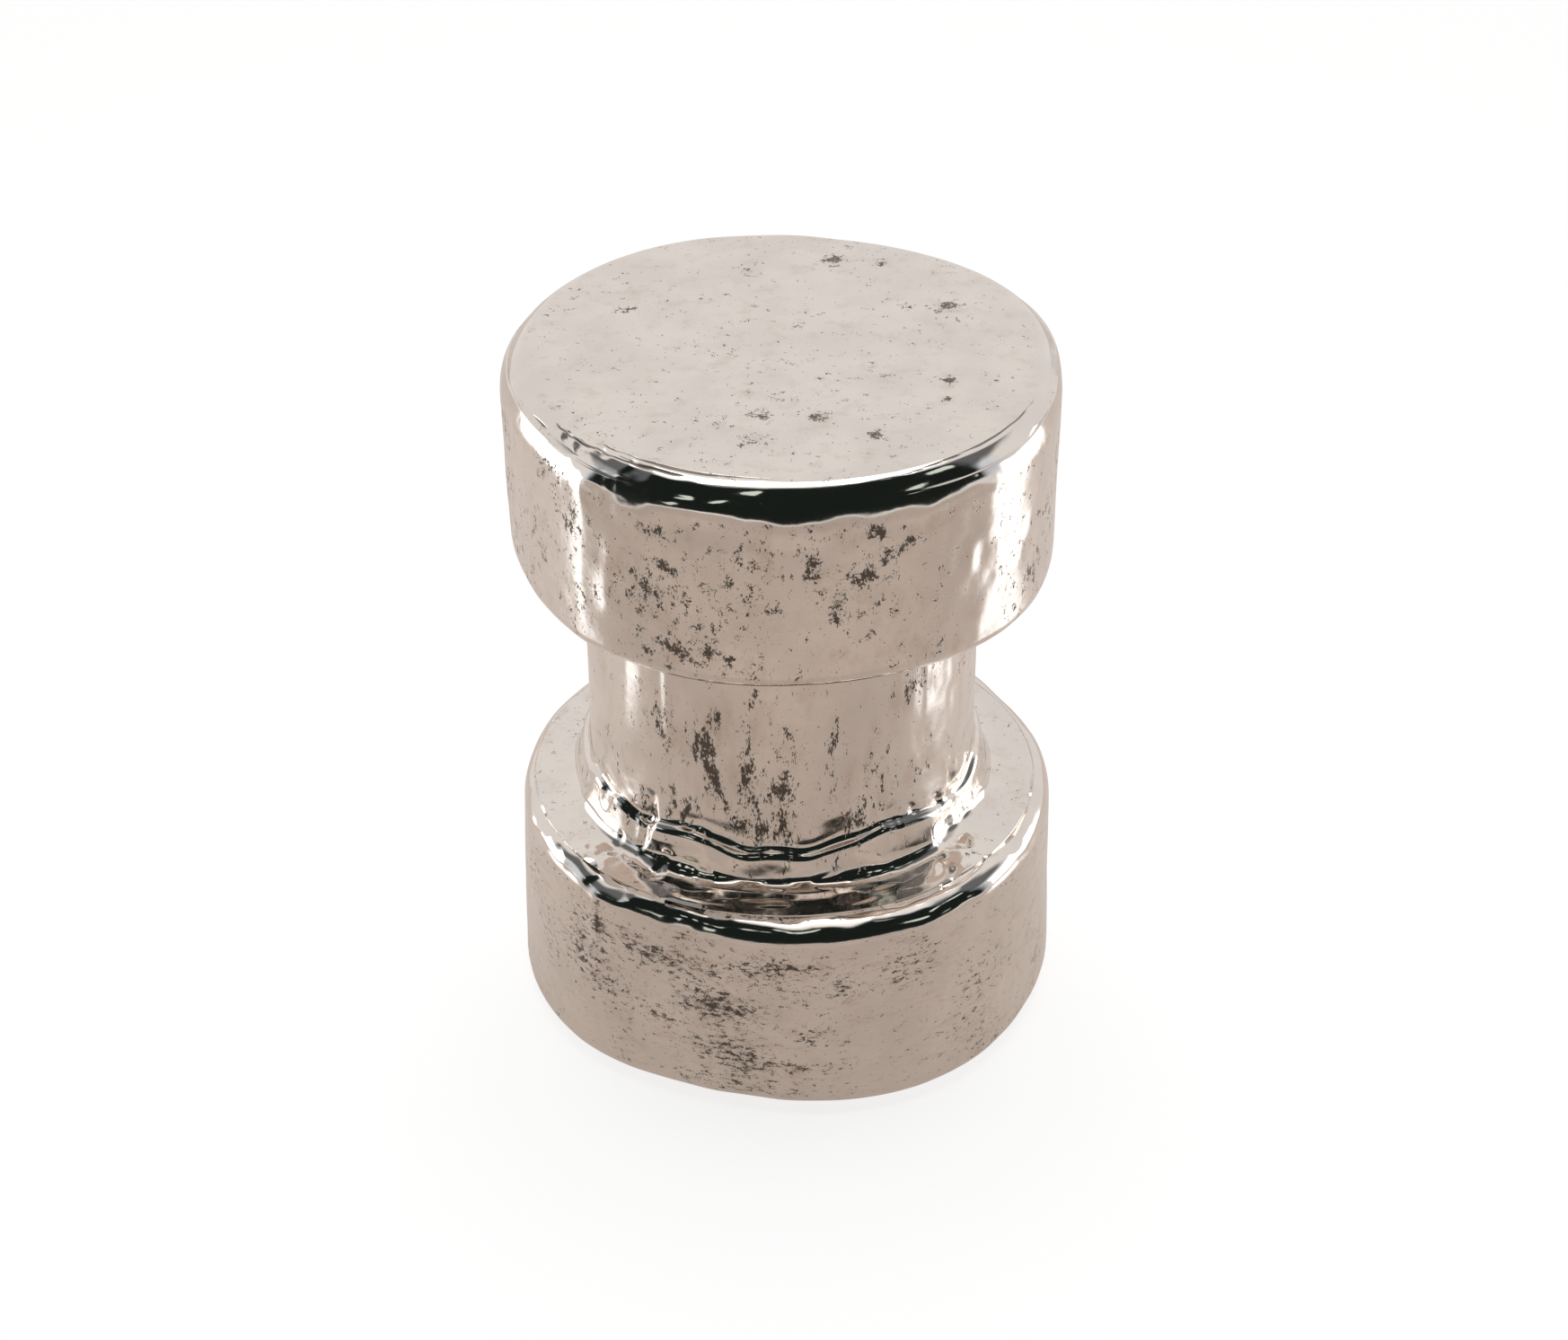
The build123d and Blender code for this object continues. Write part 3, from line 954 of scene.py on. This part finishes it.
@dataclass
class SeatCasting(Casting):
    """The upper drum: sitting face, edge, wall, underside and the hollow inside.

    Attributes:
        across: Squares along a side of the grid on the sitting face.
        edge: Radius and degrees of each arc of the rounded edge.
        rim: Width of the finely drawn ring inside the edge.
        skirt: Radii between which the unevenness below starts.
        droop: How much lower the soft sides of the edge are than its crisp front.
        droop_ring: Radii between which the top starts to droop.
        crisp_front: Direction and half width in degrees of the crisp front.
        crisp_back: The same, at the back.
        lean: Degrees by which the wall runs in downwards.
        joint: Radius beyond which the underside shows.
        room: Thickness added to the wall, for the dents.
        centre: Radius of the fan that closes the inside.
        boss: Outer radius, inner radius and height of a boss.
    """

    across: int = 134
    edge: Edge = ((9.0, 41.0), (32.0, 33.0), (30.0, 16.0))
    rim: float = 14.0
    low_round: float = 11.0
    skirt: tuple[float, float] = (128.0, 150.0)
    droop: float = 3.0
    droop_ring: tuple[float, float] = (122.0, 168.0)
    crisp_front: tuple[float, float] = (265.0, 62.0)
    crisp_back: tuple[float, float] = (98.0, 75.0)
    lean: float = 1.08
    joint: float = 130.0
    room: float = 2.6
    plate: float = 8.0
    core: float = 90.0
    centre: float = 20.0
    screws: int = 6
    screw_circle: float = 105.75
    boss: Triple = (12.0, 4.05, 12.0)

    def outline(self) -> Outline:
        """Edge, wall and underside, then back round the hollow to the axis."""
        start = self.widest - edge_width(self.edge) - self.rim
        pen = Outline(start, self.high, 0.0).run(self.rim, 0.8)
        for radius, turn in self.edge:
            pen.bend(radius, -turn, 1.0)
        pen.bend(self.low_round, -self.lean, 1.3)
        pen.run_to_level(self.low + self.low_round, 1.9)
        pen.bend(self.low_round, self.lean - 90.0, 1.7)
        pen.run_to_radius(self.joint, 4.0).run_to_radius(self.core, 14.0)
        self.outer_rows = len(pen.radius)
        pen.face(-270.0).run_to_level(self.low + self.plate, self.plate)
        pen.face(-360.0).run_to_radius(self.widest - self.wall - self.room, 30.0)
        pen.face(-270.0).run_to_level(self.high - self.plate, 40.0)
        return pen.face(-180.0).run_to_radius(self.centre, 40.0)

    def build(self) -> bpy.types.Object:
        """Uneven skin, hand-formed outline, tapped bosses."""
        skin = capped_surface(self.outline(), self.across)
        radius = skin.radius
        outside = smooth_step(radius, *self.skirt)
        top = (skin.normal[:, 2] > 0.5) & (skin.place[:, 2] > self.high - 10.0)
        row = 1 + (np.arange(len(radius)) - (self.across + 1) ** 2) // (4 * self.across)
        outer = np.where(top, 1.0, outside) * (row < self.outer_rows)
        sag = self.droop * self.away_from_front(skin) * smooth_step(radius, *self.droop_ring)
        skin.place[:, 2] -= sag * top
        self.push_out(skin, outer)
        skin.place[:, :2] *= self.spread(skin, outer)[:, None]
        return self.place_piece(skin, self.bosses())

    def away_from_front(self, skin: Surface) -> Array:
        """Zero at the crisp front edge, one at the soft sides, less at the back."""
        front, back = (
            hump(turn_between(skin.angle, facing), math.radians(width))
            for facing, width in (self.crisp_front, self.crisp_back)
        )
        return 1.0 - front - 0.8 * back

    def bosses(self) -> tuple[Surface, ...]:
        """Tapped bosses round the core hole, inside the hollow."""
        outer, inner, height = self.boss
        floor = self.low + self.plate
        made = []
        for number in range(self.screws):
            turn = 2.0 * math.pi * number / self.screws
            boss = tube_surface(outer, inner, floor - 1.0, floor + height)
            boss.place += self.screw_circle * np.array([math.cos(turn), math.sin(turn), 0.0])
            made.append(boss)
        return tuple(made)


@dataclass
class NeckCasting(Casting):
    """The waist: a flanged tube with a spigot at each end and a collar at its foot.

    Attributes:
        foot_high: Height of the collar.
        fold_slope: Degrees by which the metal folds outwards above the collar.
        foot_fillet: Radius in which the collar meets the base.
        foot_lean: Degrees by which the collar runs out downwards.
    """

    columns: int = 440
    neck: float = 127.0
    foot_high: float = 18.0
    fold_slope: float = 58.0
    foot_fillet: float = 11.0
    foot_lean: float = 11.0
    spigot: float = 6.0
    spigot_outer: float = 89.75
    spigot_inner: float = 82.25
    flange: float = 10.0

    def outline(self) -> Outline:
        """Round the section: top flange, wall, collar, foot, and back up the bore."""
        top, bottom = self.high - self.spigot, self.low + self.spigot
        pen = Outline(self.spigot_inner, self.high, 0.0).run_to_radius(self.spigot_outer, 4.0)
        pen.face(-90.0).run_to_level(top, self.spigot)
        pen.face(0.0).run_to_radius(self.neck - 1.0, 20.0)
        pen.bend(1.0, -90.0, 1.0)
        pen.run_to_level(bottom + self.foot_high + 14.0, 1.7)
        pen.bend(6.0, self.fold_slope, 0.8).run(0.7, 0.7)
        pen.bend(5.0, self.foot_lean - self.fold_slope, 0.8)
        pen.run_to_level(bottom + self.foot_fillet, 1.2)
        pen.bend(self.foot_fillet, 84.0 - self.foot_lean, 0.9)
        pen.run_to_level(bottom, 1.0)
        pen.face(-180.0).run_to_radius(self.spigot_outer, 20.0)
        pen.face(-90.0).run_to_level(self.low, self.spigot)
        pen.face(-180.0).run_to_radius(self.spigot_inner, 4.0)
        pen.face(-270.0).run_to_level(bottom + self.flange, 8.0)
        pen.face(-360.0).run_to_radius(self.neck - self.wall, 20.0)
        pen.face(-270.0).run_to_level(top - self.flange, 40.0)
        pen.face(-180.0).run_to_radius(self.spigot_inner, 20.0)
        return pen.face(-270.0).run_to_level(self.high - 2.0, 8.0)

    def build(self) -> bpy.types.Object:
        """Uneven skin, with a fold above the collar that rises and falls."""
        skin = closed_ring_surface(self.outline(), self.columns)
        z = skin.place[:, 2]
        outer = smooth_step(skin.radius, self.neck - 3.0, self.neck - 1.0)
        foot = self.low + self.spigot
        outer = outer * smooth_step(z, foot - 0.5, foot + 1.5)
        fold = between(z, foot + 2.0, foot + 14.0, foot + 24.0, foot + 60.0)
        sway = self.sway(skin)
        self.push_out(skin, outer)
        skin.place[:, 2] += sway * fold * outer
        skin.place[:, :2] *= self.spread(skin, outer)[:, None]
        return self.place_piece(skin)


@dataclass
class BaseCasting(Casting):
    """The lower drum: top face, edge, wall, rim and lip, open below.

    Attributes:
        edge: Radius and degrees of each arc of the rounded edge.
        joint: Radius where the hidden joint face ends.
        skirt: Radii between which the unevenness of the top starts.
        shoulder: Radius where the top starts to fall.
        crown: Degrees by which it falls.
        lean: Degrees by which the wall runs out downwards.
        flare: How much wider the wall is at its foot than at the edge.
        room: Thickness added to the wall, for the dents.
        haunch: How far below the plate the inner wall starts to slope in.
        haunch_slope: Degrees by which that slope rises.
        lip: Width of the lip round the opening below.
    """

    columns: int = 560
    edge: Edge = ((14.0, 33.0), (13.0, 35.0), (16.0, 15.0))
    joint: float = 126.0
    skirt: tuple[float, float] = (124.0, 134.0)
    shoulder: float = 133.0
    crown: float = 7.0
    low_round: float = 12.0
    lean: float = 1.18
    flare: float = 2.75
    room: float = 3.5
    plate: float = 8.0
    haunch: float = 20.0
    haunch_slope: float = 33.0
    core: float = 90.0
    lip: float = 22.0
    lip_high: float = 11.0

    def outline(self) -> Outline:
        """Round the section from the core hole outwards and back up the inside."""
        pen = Outline(self.core, self.high, 0.0).run_to_radius(self.joint, 12.0)
        pen.run_to_radius(self.shoulder, 1.4).bend(50.0, -self.crown, 1.4)
        pen.run_to_radius(self.widest - self.flare - edge_width(self.edge), 1.0)
        for radius, turn in self.edge:
            pen.bend(radius, -turn, 0.9)
        pen.bend(self.low_round, self.lean, 1.0)
        pen.run_to_level(self.low + self.low_round, 1.9)
        pen.bend(self.low_round, -90.0 - self.lean, 1.7)
        pen.run_to_radius(self.widest - self.lip, 6.0)
        self.outer_rows = len(pen.radius)
        ceiling = self.high - self.plate
        pen.face(-270.0).run_to_level(self.low + self.lip_high, 12.0)
        pen.face(-360.0).run_to_radius(self.widest - self.wall - self.room, 20.0)
        pen.face(-270.0 + self.lean).run_to_level(ceiling - self.haunch, 40.0)
        pen.face(-180.0 - self.haunch_slope).run_to_level(ceiling, 30.0)
        pen.face(-180.0).run_to_radius(self.core, 25.0)
        return pen.face(-270.0).run_to_level(self.high - 2.0, 8.0)

    def build(self) -> bpy.types.Object:
        """Uneven skin, hand-formed outline, and an edge that rises and falls."""
        skin = closed_ring_surface(self.outline(), self.columns)
        z, radius = skin.place[:, 2], skin.radius
        lip_end = self.widest - self.lip
        under_lip = smooth_step(radius, lip_end, lip_end + 8.0)
        below = z < self.low + self.lip_high + 2.0
        outer = np.where(below, under_lip, smooth_step(radius, *self.skirt))
        outer = outer * (np.arange(len(z)) // self.columns < self.outer_rows)
        rim = smooth_step(z, self.high - 32.0, self.high - 9.0)
        rim = rim * smooth_step(radius, self.widest - 34.0, self.widest - 15.0)
        sway = self.sway(skin)
        self.push_out(skin, outer)
        skin.place[:, 2] += sway * rim * outer
        skin.place[:, :2] *= self.spread(skin, outer)[:, None]
        return self.place_piece(skin)


# ---- studio ----


def aim(holder: bpy.types.Object, place: Vector, target: Vector) -> None:
    """Stand a lamp or the camera at a place, looking at the target."""
    holder.location = place
    holder.rotation_euler = (target - place).to_track_quat("-Z", "Y").to_euler()
    bpy.context.scene.collection.objects.link(holder)


@dataclass(frozen=True)
class Panel:
    """A soft light panel: where it stands, what it faces, its size and strength."""

    name: str
    place: Triple
    target: Triple
    size: tuple[float, float]
    power: float
    colour: Triple = (1.0, 1.0, 1.0)

    def light(self) -> None:
        """Hang the panel as a rectangular area light that the camera doesn't see."""
        lamp = bpy.data.lights.new(self.name, "AREA")
        lamp.shape = "RECTANGLE"
        lamp.size, lamp.size_y = self.size
        lamp.energy = self.power
        lamp.color = self.colour
        holder = bpy.data.objects.new(self.name, lamp)
        holder.visible_camera = False
        aim(holder, Vector(self.place), Vector(self.target))


@dataclass
class Studio:
    """Pale floor, soft light and the camera."""

    elevation: float = 33.1
    distance: float = 2.246
    lens: float = 79.3
    sensor: float = 36.0
    target: Triple = (-0.0006, 0.0, 0.2266)
    floor_size: float = 9.0
    near_band: tuple[float, float, float, float] = (-0.82, -0.62, -0.54, -0.42)
    floor_front: Triple = (0.385, 0.327, 0.287)
    floor_near: Triple = (0.455, 0.385, 0.337)
    floor_back: Triple = (0.54, 0.485, 0.45)
    floor_right: Triple = (1.35, 1.36, 1.38)
    floor_left: Triple = (1.35, 1.38, 1.4)
    sky_behind: Triple = (0.83, 0.815, 0.805)
    sky_overhead: Triple = (1.2, 1.15, 1.11)
    sky_sides: Triple = (0.74, 0.8, 0.86)
    sky_ahead: Triple = (0.011, 0.015, 0.013)
    sky_lamps: Triple = (0.75, 0.85, 0.78)
    sky_wall: Triple = (0.03, 0.037, 0.043)
    panels: tuple[Panel, ...] = field(default_factory=tuple)

    def camera(self) -> None:
        """Stand the camera off the target, looking down at the stool."""
        lens = bpy.data.cameras.new("camera")
        lens.lens = self.lens
        lens.sensor_width = self.sensor
        lens.sensor_fit = "HORIZONTAL"
        holder = bpy.data.objects.new("camera", lens)
        rise = math.radians(self.elevation)
        target = Vector(self.target)
        way = Vector((0.0, -math.cos(rise), math.sin(rise)))
        aim(holder, target + self.distance * way, target)
        bpy.context.scene.camera = holder

    def floor(self) -> None:
        """A wide pale sheet: near white to the eye, warmer in the metal.

        In the metal its glow goes from warm in front to pale behind, as it would in a
        room lit from behind, with a patch of window light at each side. The eye sees
        only a faint shadow on it.
        """
        half = self.floor_size / 2.0
        mesh = bpy.data.meshes.new("floor")
        corners = [(-half, -half, 0.0), (half, -half, 0.0), (half, half, 0.0), (-half, half, 0.0)]
        mesh.from_pydata(corners, [], [(0, 1, 2, 3)])
        sheet = bpy.data.objects.new("floor", mesh)
        bpy.context.scene.collection.objects.link(sheet)
        bench = MaterialBench("floor_paper")
        seen = bench.node("ShaderNodeLightPath", out="Is Camera Ray")
        place = bench.place()
        side, depth = bench.part(place, 0), bench.part(place, 1)
        near = depth.between(*self.near_band)
        glow = bench.mix(near, self.floor_front, self.floor_near)
        glow = bench.mix(depth.ramp(-0.45, 0.3), glow, self.floor_back)
        right = side.ramp(0.4, 0.58) * depth.ramp(-0.15, -0.08)
        right = right * (1.0 - (depth - side * 0.5).ramp(-0.2, -0.06))
        left = side.ramp(-0.56, -0.4, 1.0, 0.0) * depth.ramp(-0.15, -0.08)
        left = left * (1.0 - (depth + side * 0.3).ramp(-0.16, -0.06))
        glow = bench.mix(right * (1.0 - side.ramp(1.2, 1.8)), glow, self.floor_right)
        glow = bench.mix(left * side.ramp(-1.8, -1.2), glow, self.floor_left)
        colour = bench.mix(seen, (0.16, 0.145, 0.135), (0.3, 0.3, 0.3))
        light = bench.mix(seen, glow, (0.8, 0.8, 0.8))
        bench.finish(Base_Color=colour, Roughness=0.9, Emission_Color=light, Emission_Strength=1.0)
        mesh.materials.append(bench.material)

    def sky(self) -> None:
        """Light from all round: pale overhead and behind, dark beyond the camera.

        The dark part is a product of three soft steps: towards the camera, above the
        horizon, and below the ceiling. Its sides are a cool glow, as of tall windows
        with a dark wall above, and thresholded noise gives the few lamps in it.
        """
        world = bpy.data.worlds.new("studio")
        bpy.context.scene.world = world
        world.use_nodes = True
        bench = Bench(world.node_tree)
        way = bench.node("ShaderNodeTexCoord", out="Generated")
        x, y, z = (bench.part(way, index) for index in range(3))
        level = (x * x + y * y) ** 0.5
        ahead = (x * 0.03 - y) / (level + 0.001)
        band = z.between(-0.01, 0.04, 0.9, 0.96)
        far = bench.mix(z.ramp(0.88, 0.98), self.sky_behind, self.sky_overhead)
        windows = bench.mix(ahead.ramp(-0.12, 0.0) * band, far, self.sky_sides)
        blobs = bench.node("ShaderNodeTexNoise", None, {"Vector": way, "Scale": 5.0, "Detail": 0.0})
        lamps = blobs.ramp(0.735, 0.76)
        night = bench.mix(lamps * z.ramp(0.1, 0.25), self.sky_ahead, self.sky_lamps)
        above = ahead.ramp(-0.6, -0.3) * z.ramp(0.42, 0.58) * (1.0 - z.ramp(0.8, 0.9))
        room = bench.mix(above * 0.85, windows, self.sky_wall)
        room = bench.mix(ahead.ramp(0.0, 0.22) * band, room, night)
        seen = bench.node("ShaderNodeLightPath", out="Is Camera Ray")
        colour = bench.mix(seen, room, (1.0, 1.0, 1.0))
        background = bench.node("ShaderNodeBackground", None, {"Color": colour})
        output = bench.tree.nodes.new("ShaderNodeOutputWorld")
        bench.tree.links.new(background.socket, output.inputs["Surface"])

    def build(self) -> None:
        """Set up everything round the stool."""
        self.camera()
        self.floor()
        self.sky()
        for panel in self.panels:
            panel.light()
        scene = bpy.context.scene
        scene.view_settings.view_transform = "Standard"
        scene.view_settings.look = "None"


# ---- this stool ----

SEAT = dict(
    node="seat_casting",
    finish=PolishedCasting("polished_seat", PitRun.SLIGHTLY_UPRIGHT),
    ripples=(Ripple(70, 0.9, 11), Ripple(30, 0.3, 12), Ripple(12, 0.04, 13)),
    lobes=(
        Lobe(1, 1.2, 177), Lobe(2, 2.2, 129), Lobe(3, 0.8, 40), Lobe(4, 1.4, 45),
        Lobe(5, 1.6, 33), Lobe(1, 3.2, 80), Lobe(2, 1.4, 66), Lobe(0, 0.8, 0),
        Lobe(3, 1.2, 142),
    ),
    ridges=(Ridge(234, 6, 0.9, 350, 425, 0.1),),
    kinks=(Kink(226.5, 3.4, 30, 3, 300, 470, 0.05),),
    crumples=(
        Crumple(Patch(312, 385, 45, 50), Ripple(12, 1.1, 15, 1.7)),
        Crumple(Patch(222, 385, 45, 50), Ripple(13, 0.6, 19, 1.7)),
        Crumple(Patch(262, 438, 170, 14), Ripple(18, 1.7, 16)),
        Crumple(Patch(262, 444, 150, 10), HoopRipple(14, 0.6, 20)),
        Crumple(Patch(90, 438, 330, 14), Ripple(26, 1.2, 18)),
        Crumple(Patch(226, 450, 45, 14), Ripple(10, 1.2, 17), 0.5),
    ),
    creases=(
        Crease(260, 26, 157.5, 0, 0.9, 0.32, 0.4, 61), Crease(234, 32, 157, 5, 1.1, 0.5, 1, 62),
        Crease(228, 28, 161.5, 4, 1, 0.45, 0.8, 66),
        Crease(222, 22, 165, 3, 0.9, 0.45, 0.8, 67),
        Crease(318, 28, 161, -4, 0.9, 0.35, 0.6, 68),
    ),
    patches=(
        Patch(244, 425, 9, 9, 0.6, -0.4), Patch(246, 405, 9, 5, 0.6, -0.8),
        Patch(244, 388, 9, 12, 0.3, -0.4), Patch(215, 427, 12, 14, 0.45, -0.7),
        Patch(224, 412, 8, 12, 0.45), Patch(275, 406, 6, 20, 0.45),
        Patch(288, 430, 14, 8, 0.45), Patch(293, 417, 12, 9, 0.65, 0.8),
        Patch(286, 404, 9, 8, 0.55, 0.6), Patch(280, 375, 6, 8, 0.55),
        Patch(268, 381, 4, 4, 0.6), Patch(246, 347, 14, 7, 0.36, -1),
        Patch(256, 349, 12, 5, 0.34), Patch(262, 415, 24, 14, 0.25),
        Patch(120, 400, 60, 30, 0.25, 0.5), Patch(30, 380, 40, 30, 0.25, -0.5),
        Patch(70, 420, 25, 12, 0.45, 0.6), Patch(160, 370, 20, 14, 0.45, -0.6),
        Patch(350, 410, 18, 20, 0.4, 0.5),
    ),
    spots=(
        Spot(31, 124, 9, 0.85), Spot(63, 121, 8, 0.75), Spot(-25, 108, 5, 0.7),
        Spot(102, 60, 9, 0.8), Spot(77, 60, 7, 0.55), Spot(-100, 56, 8, 0.5),
        Spot(-41, -11, 9, 0.55), Spot(-23, -54, 4, 0.8), Spot(-15, -81, 8, 0.7),
        Spot(19, -83, 9, 0.85), Spot(61, -28, 6, 0.6), Spot(100, -38, 6, 0.85),
        Spot(97, -63, 5, 0.9), Spot(-38, -92, 6, 0.65), Spot(54, -107, 7, 0.7),
        Spot(-19, -114, 9, 0.5),
    ),
    wear_everywhere=0.14,
    wear_seed=3,
)
NECK = dict(
    node="neck_casting",
    finish=PolishedCasting("polished_neck", PitRun.UPRIGHT),
    ripples=(Ripple(45, 0.7, 21, 2), Ripple(20, 0.3, 22, 2.2), Ripple(9, 0.04, 23)),
    lobes=(Lobe(1, 2.2, 182), Lobe(2, 1.2, 90)),
    ridges=(Ridge(236, 4, 1.1, 235, 315),),
    kinks=(Kink(221, 2, 22, 3, 195, 345, 0.05),),
    crumples=(
        Crumple(Patch(226, 176, 48, 24), Ripple(13, 5.5, 24, 1.4), 0.35),
        Crumple(Patch(320, 176, 34, 22), Ripple(13, 5.5, 26, 1.4), 0.35),
        Crumple(Patch(270, 176, 130, 12), HoopRipple(10, 2, 27, 1, 2.6, 134), 0.2),
        Crumple(Patch(262, 156, 110, 8), HoopRipple(7, 1.8, 30, 1, 2.2, 140), 0.4),
        Crumple(Patch(262, 182, 90, 13), Ripple(22, 3.2, 24)),
        Crumple(Patch(90, 174, 260, 15), HoopRipple(9, 1.8, 28, 1, 2.4, 134), 0.2),
        Crumple(Patch(318, 270, 34, 60), Ripple(7, 0.7, 29, 2.4)),
    ),
    sways=((2.1, 6, 41), (5.5, 2.6, 42)),
    patches=(
        Patch(234, 260, 6, 22, 0.6), Patch(250, 268, 7, 20, 0.55), Patch(247, 245, 7, 7, 0.55),
        Patch(260, 254, 5, 30, 0.5), Patch(250, 221, 6, 20, 0.75, -0.45),
        Patch(260, 220, 5, 22, 0.5, -0.15), Patch(270, 225, 6, 40, 0.5),
        Patch(284, 258, 5, 20, 0.4), Patch(295, 245, 5, 20, 0.3), Patch(262, 190, 20, 8, 0.45),
        Patch(240, 195, 14, 10, 0.45), Patch(30, 250, 30, 30, 0.35),
        Patch(110, 240, 30, 40, 0.35), Patch(165, 260, 20, 30, 0.35),
    ),
    wear_everywhere=0.12,
    wear_seed=5,
    buffed=0.1,
)
BASE = dict(
    node="base_casting",
    finish=PolishedCasting("polished_base", PitRun.LEVEL),
    ripples=(Ripple(60, 0.9, 31), Ripple(25, 0.35, 32), Ripple(12, 0.06, 33)),
    lobes=(
        Lobe(1, 1.5, -6), Lobe(2, 1.3, 126), Lobe(3, 1.2, 62), Lobe(4, 1.2, 34),
        Lobe(5, 0.9, 6),
    ),
    ridges=(
        Ridge(226, 7, 1.2, 60, 150), Ridge(254, 70, -3.2, -60, 60), Ridge(50, 60, 3, 60, 220),
    ),
    crumples=(
        Crumple(Patch(266, 152, 120, 10), HoopRipple(7, 0.9, 35, 1, 3.2), 0.3),
        Crumple(Patch(266, 146, 190, 9), Ripple(18, 1.4, 34)),
        Crumple(Patch(270, 138, 230, 9), Ripple(28, 1.6, 39)),
        Crumple(Patch(226, 152, 55, 9), Ripple(14, 3, 38), 0.45),
        Crumple(Patch(90, 152, 330, 9), Ripple(19, 1.3, 36)),
        Crumple(Patch(312, 75, 60, 45), Ripple(10, 0.9, 37, 1.6)),
    ),
    creases=(
        Crease(268, 105, 160.5, 0, 1.2, 0.5, 2.5, 71, 0.7),
        Crease(255, 70, 154, 3, 1.5, 0.9, 2.5, 72, 0.5),
    ),
    sways=((2.6, 4, 43), (7, 1.6, 44)),
    patches=(
        Patch(257, 83, 26, 10, 0.45), Patch(267, 119, 30, 7, 0.5), Patch(262, 108, 34, 8, 0.35),
        Patch(256, 50, 22, 9, 0.4), Patch(242, 66, 12, 9, 0.5, -0.8),
        Patch(240, 112, 30, 9, 0.3, -1.2), Patch(227, 124, 2, 20, 0.6),
        Patch(222, 85, 18, 24, 0.25, -0.6), Patch(270, 40, 40, 6, 0.4),
        Patch(276, 62, 20, 8, 0.3), Patch(282, 100, 8, 8, 0.45), Patch(80, 90, 70, 24, 0.3),
        Patch(20, 70, 40, 20, 0.3), Patch(150, 80, 50, 24, 0.35),
    ),
    spots=(
        Spot(4, -150, 16, 1.4), Spot(-26, -147, 15, 1.3), Spot(36, -147, 15, 1.3),
        Spot(62, -136, 13, 0.8), Spot(-58, -136, 14, 0.8), Spot(-108, -98, 14, 1.3),
        Spot(-122, -76, 12, 1), Spot(-144, -20, 14, 0.7), Spot(143, 12, 14, 0.6),
    ),
    wear_everywhere=0.12,
    wear_seed=7,
)
PANELS = (
    Panel("right_board", (0.9, 0.17, 0.32), (0.0, 0.0, 0.32), (0.55, 0.38), 1.2, (1.0, 0.99, 0.98)),
    Panel("left_board", (-0.9, 0.17, 0.32), (0.0, 0.0, 0.32), (0.55, 0.38), 1.2, (0.97, 0.99, 1.0)),
    Panel("ceiling", (0.0, 0.2, 2.4), (0.0, 0.0, 0.0), (1.6, 1.6), 12.0),
)
FINISHES = {
    "zinc_steel": MachinedMetal("zinc_steel", (0.62, 0.62, 0.6), 0.26),
    "ground_steel": MachinedMetal("ground_steel", (0.5, 0.51, 0.53), 0.18),
    "insert_brass": MachinedMetal("insert_brass", (0.72, 0.54, 0.26), 0.24),
    "cover_paint": PowderCoat("cover_paint", (0.06, 0.06, 0.062)),
    "glide_nylon": MouldedNylon("glide_nylon", (0.05, 0.049, 0.047)),
}


def dress_hardware() -> None:
    """Give every CAD node that stays visible the finish of its material slot."""
    made = {label: finish.material() for label, finish in FINISHES.items()}
    for part in frame["record"]["subparts"]:
        label = part["material_slot"]
        if label not in made:
            continue
        piece = frame["nodes"][part["node"]]
        piece.data.materials.clear()
        piece.data.materials.append(made[label])
        LOG.info("%s: %s", part["node"], label)


def main() -> None:
    """Build the stool's looks and its studio."""
    logging.basicConfig(level=logging.INFO, format="%(name)s %(message)s")
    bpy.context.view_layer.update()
    SeatCasting(**SEAT).build()
    NeckCasting(**NECK).build()
    BaseCasting(**BASE).build()
    dress_hardware()
    Studio(panels=PANELS).build()


if __name__ == "__main__":
    main()
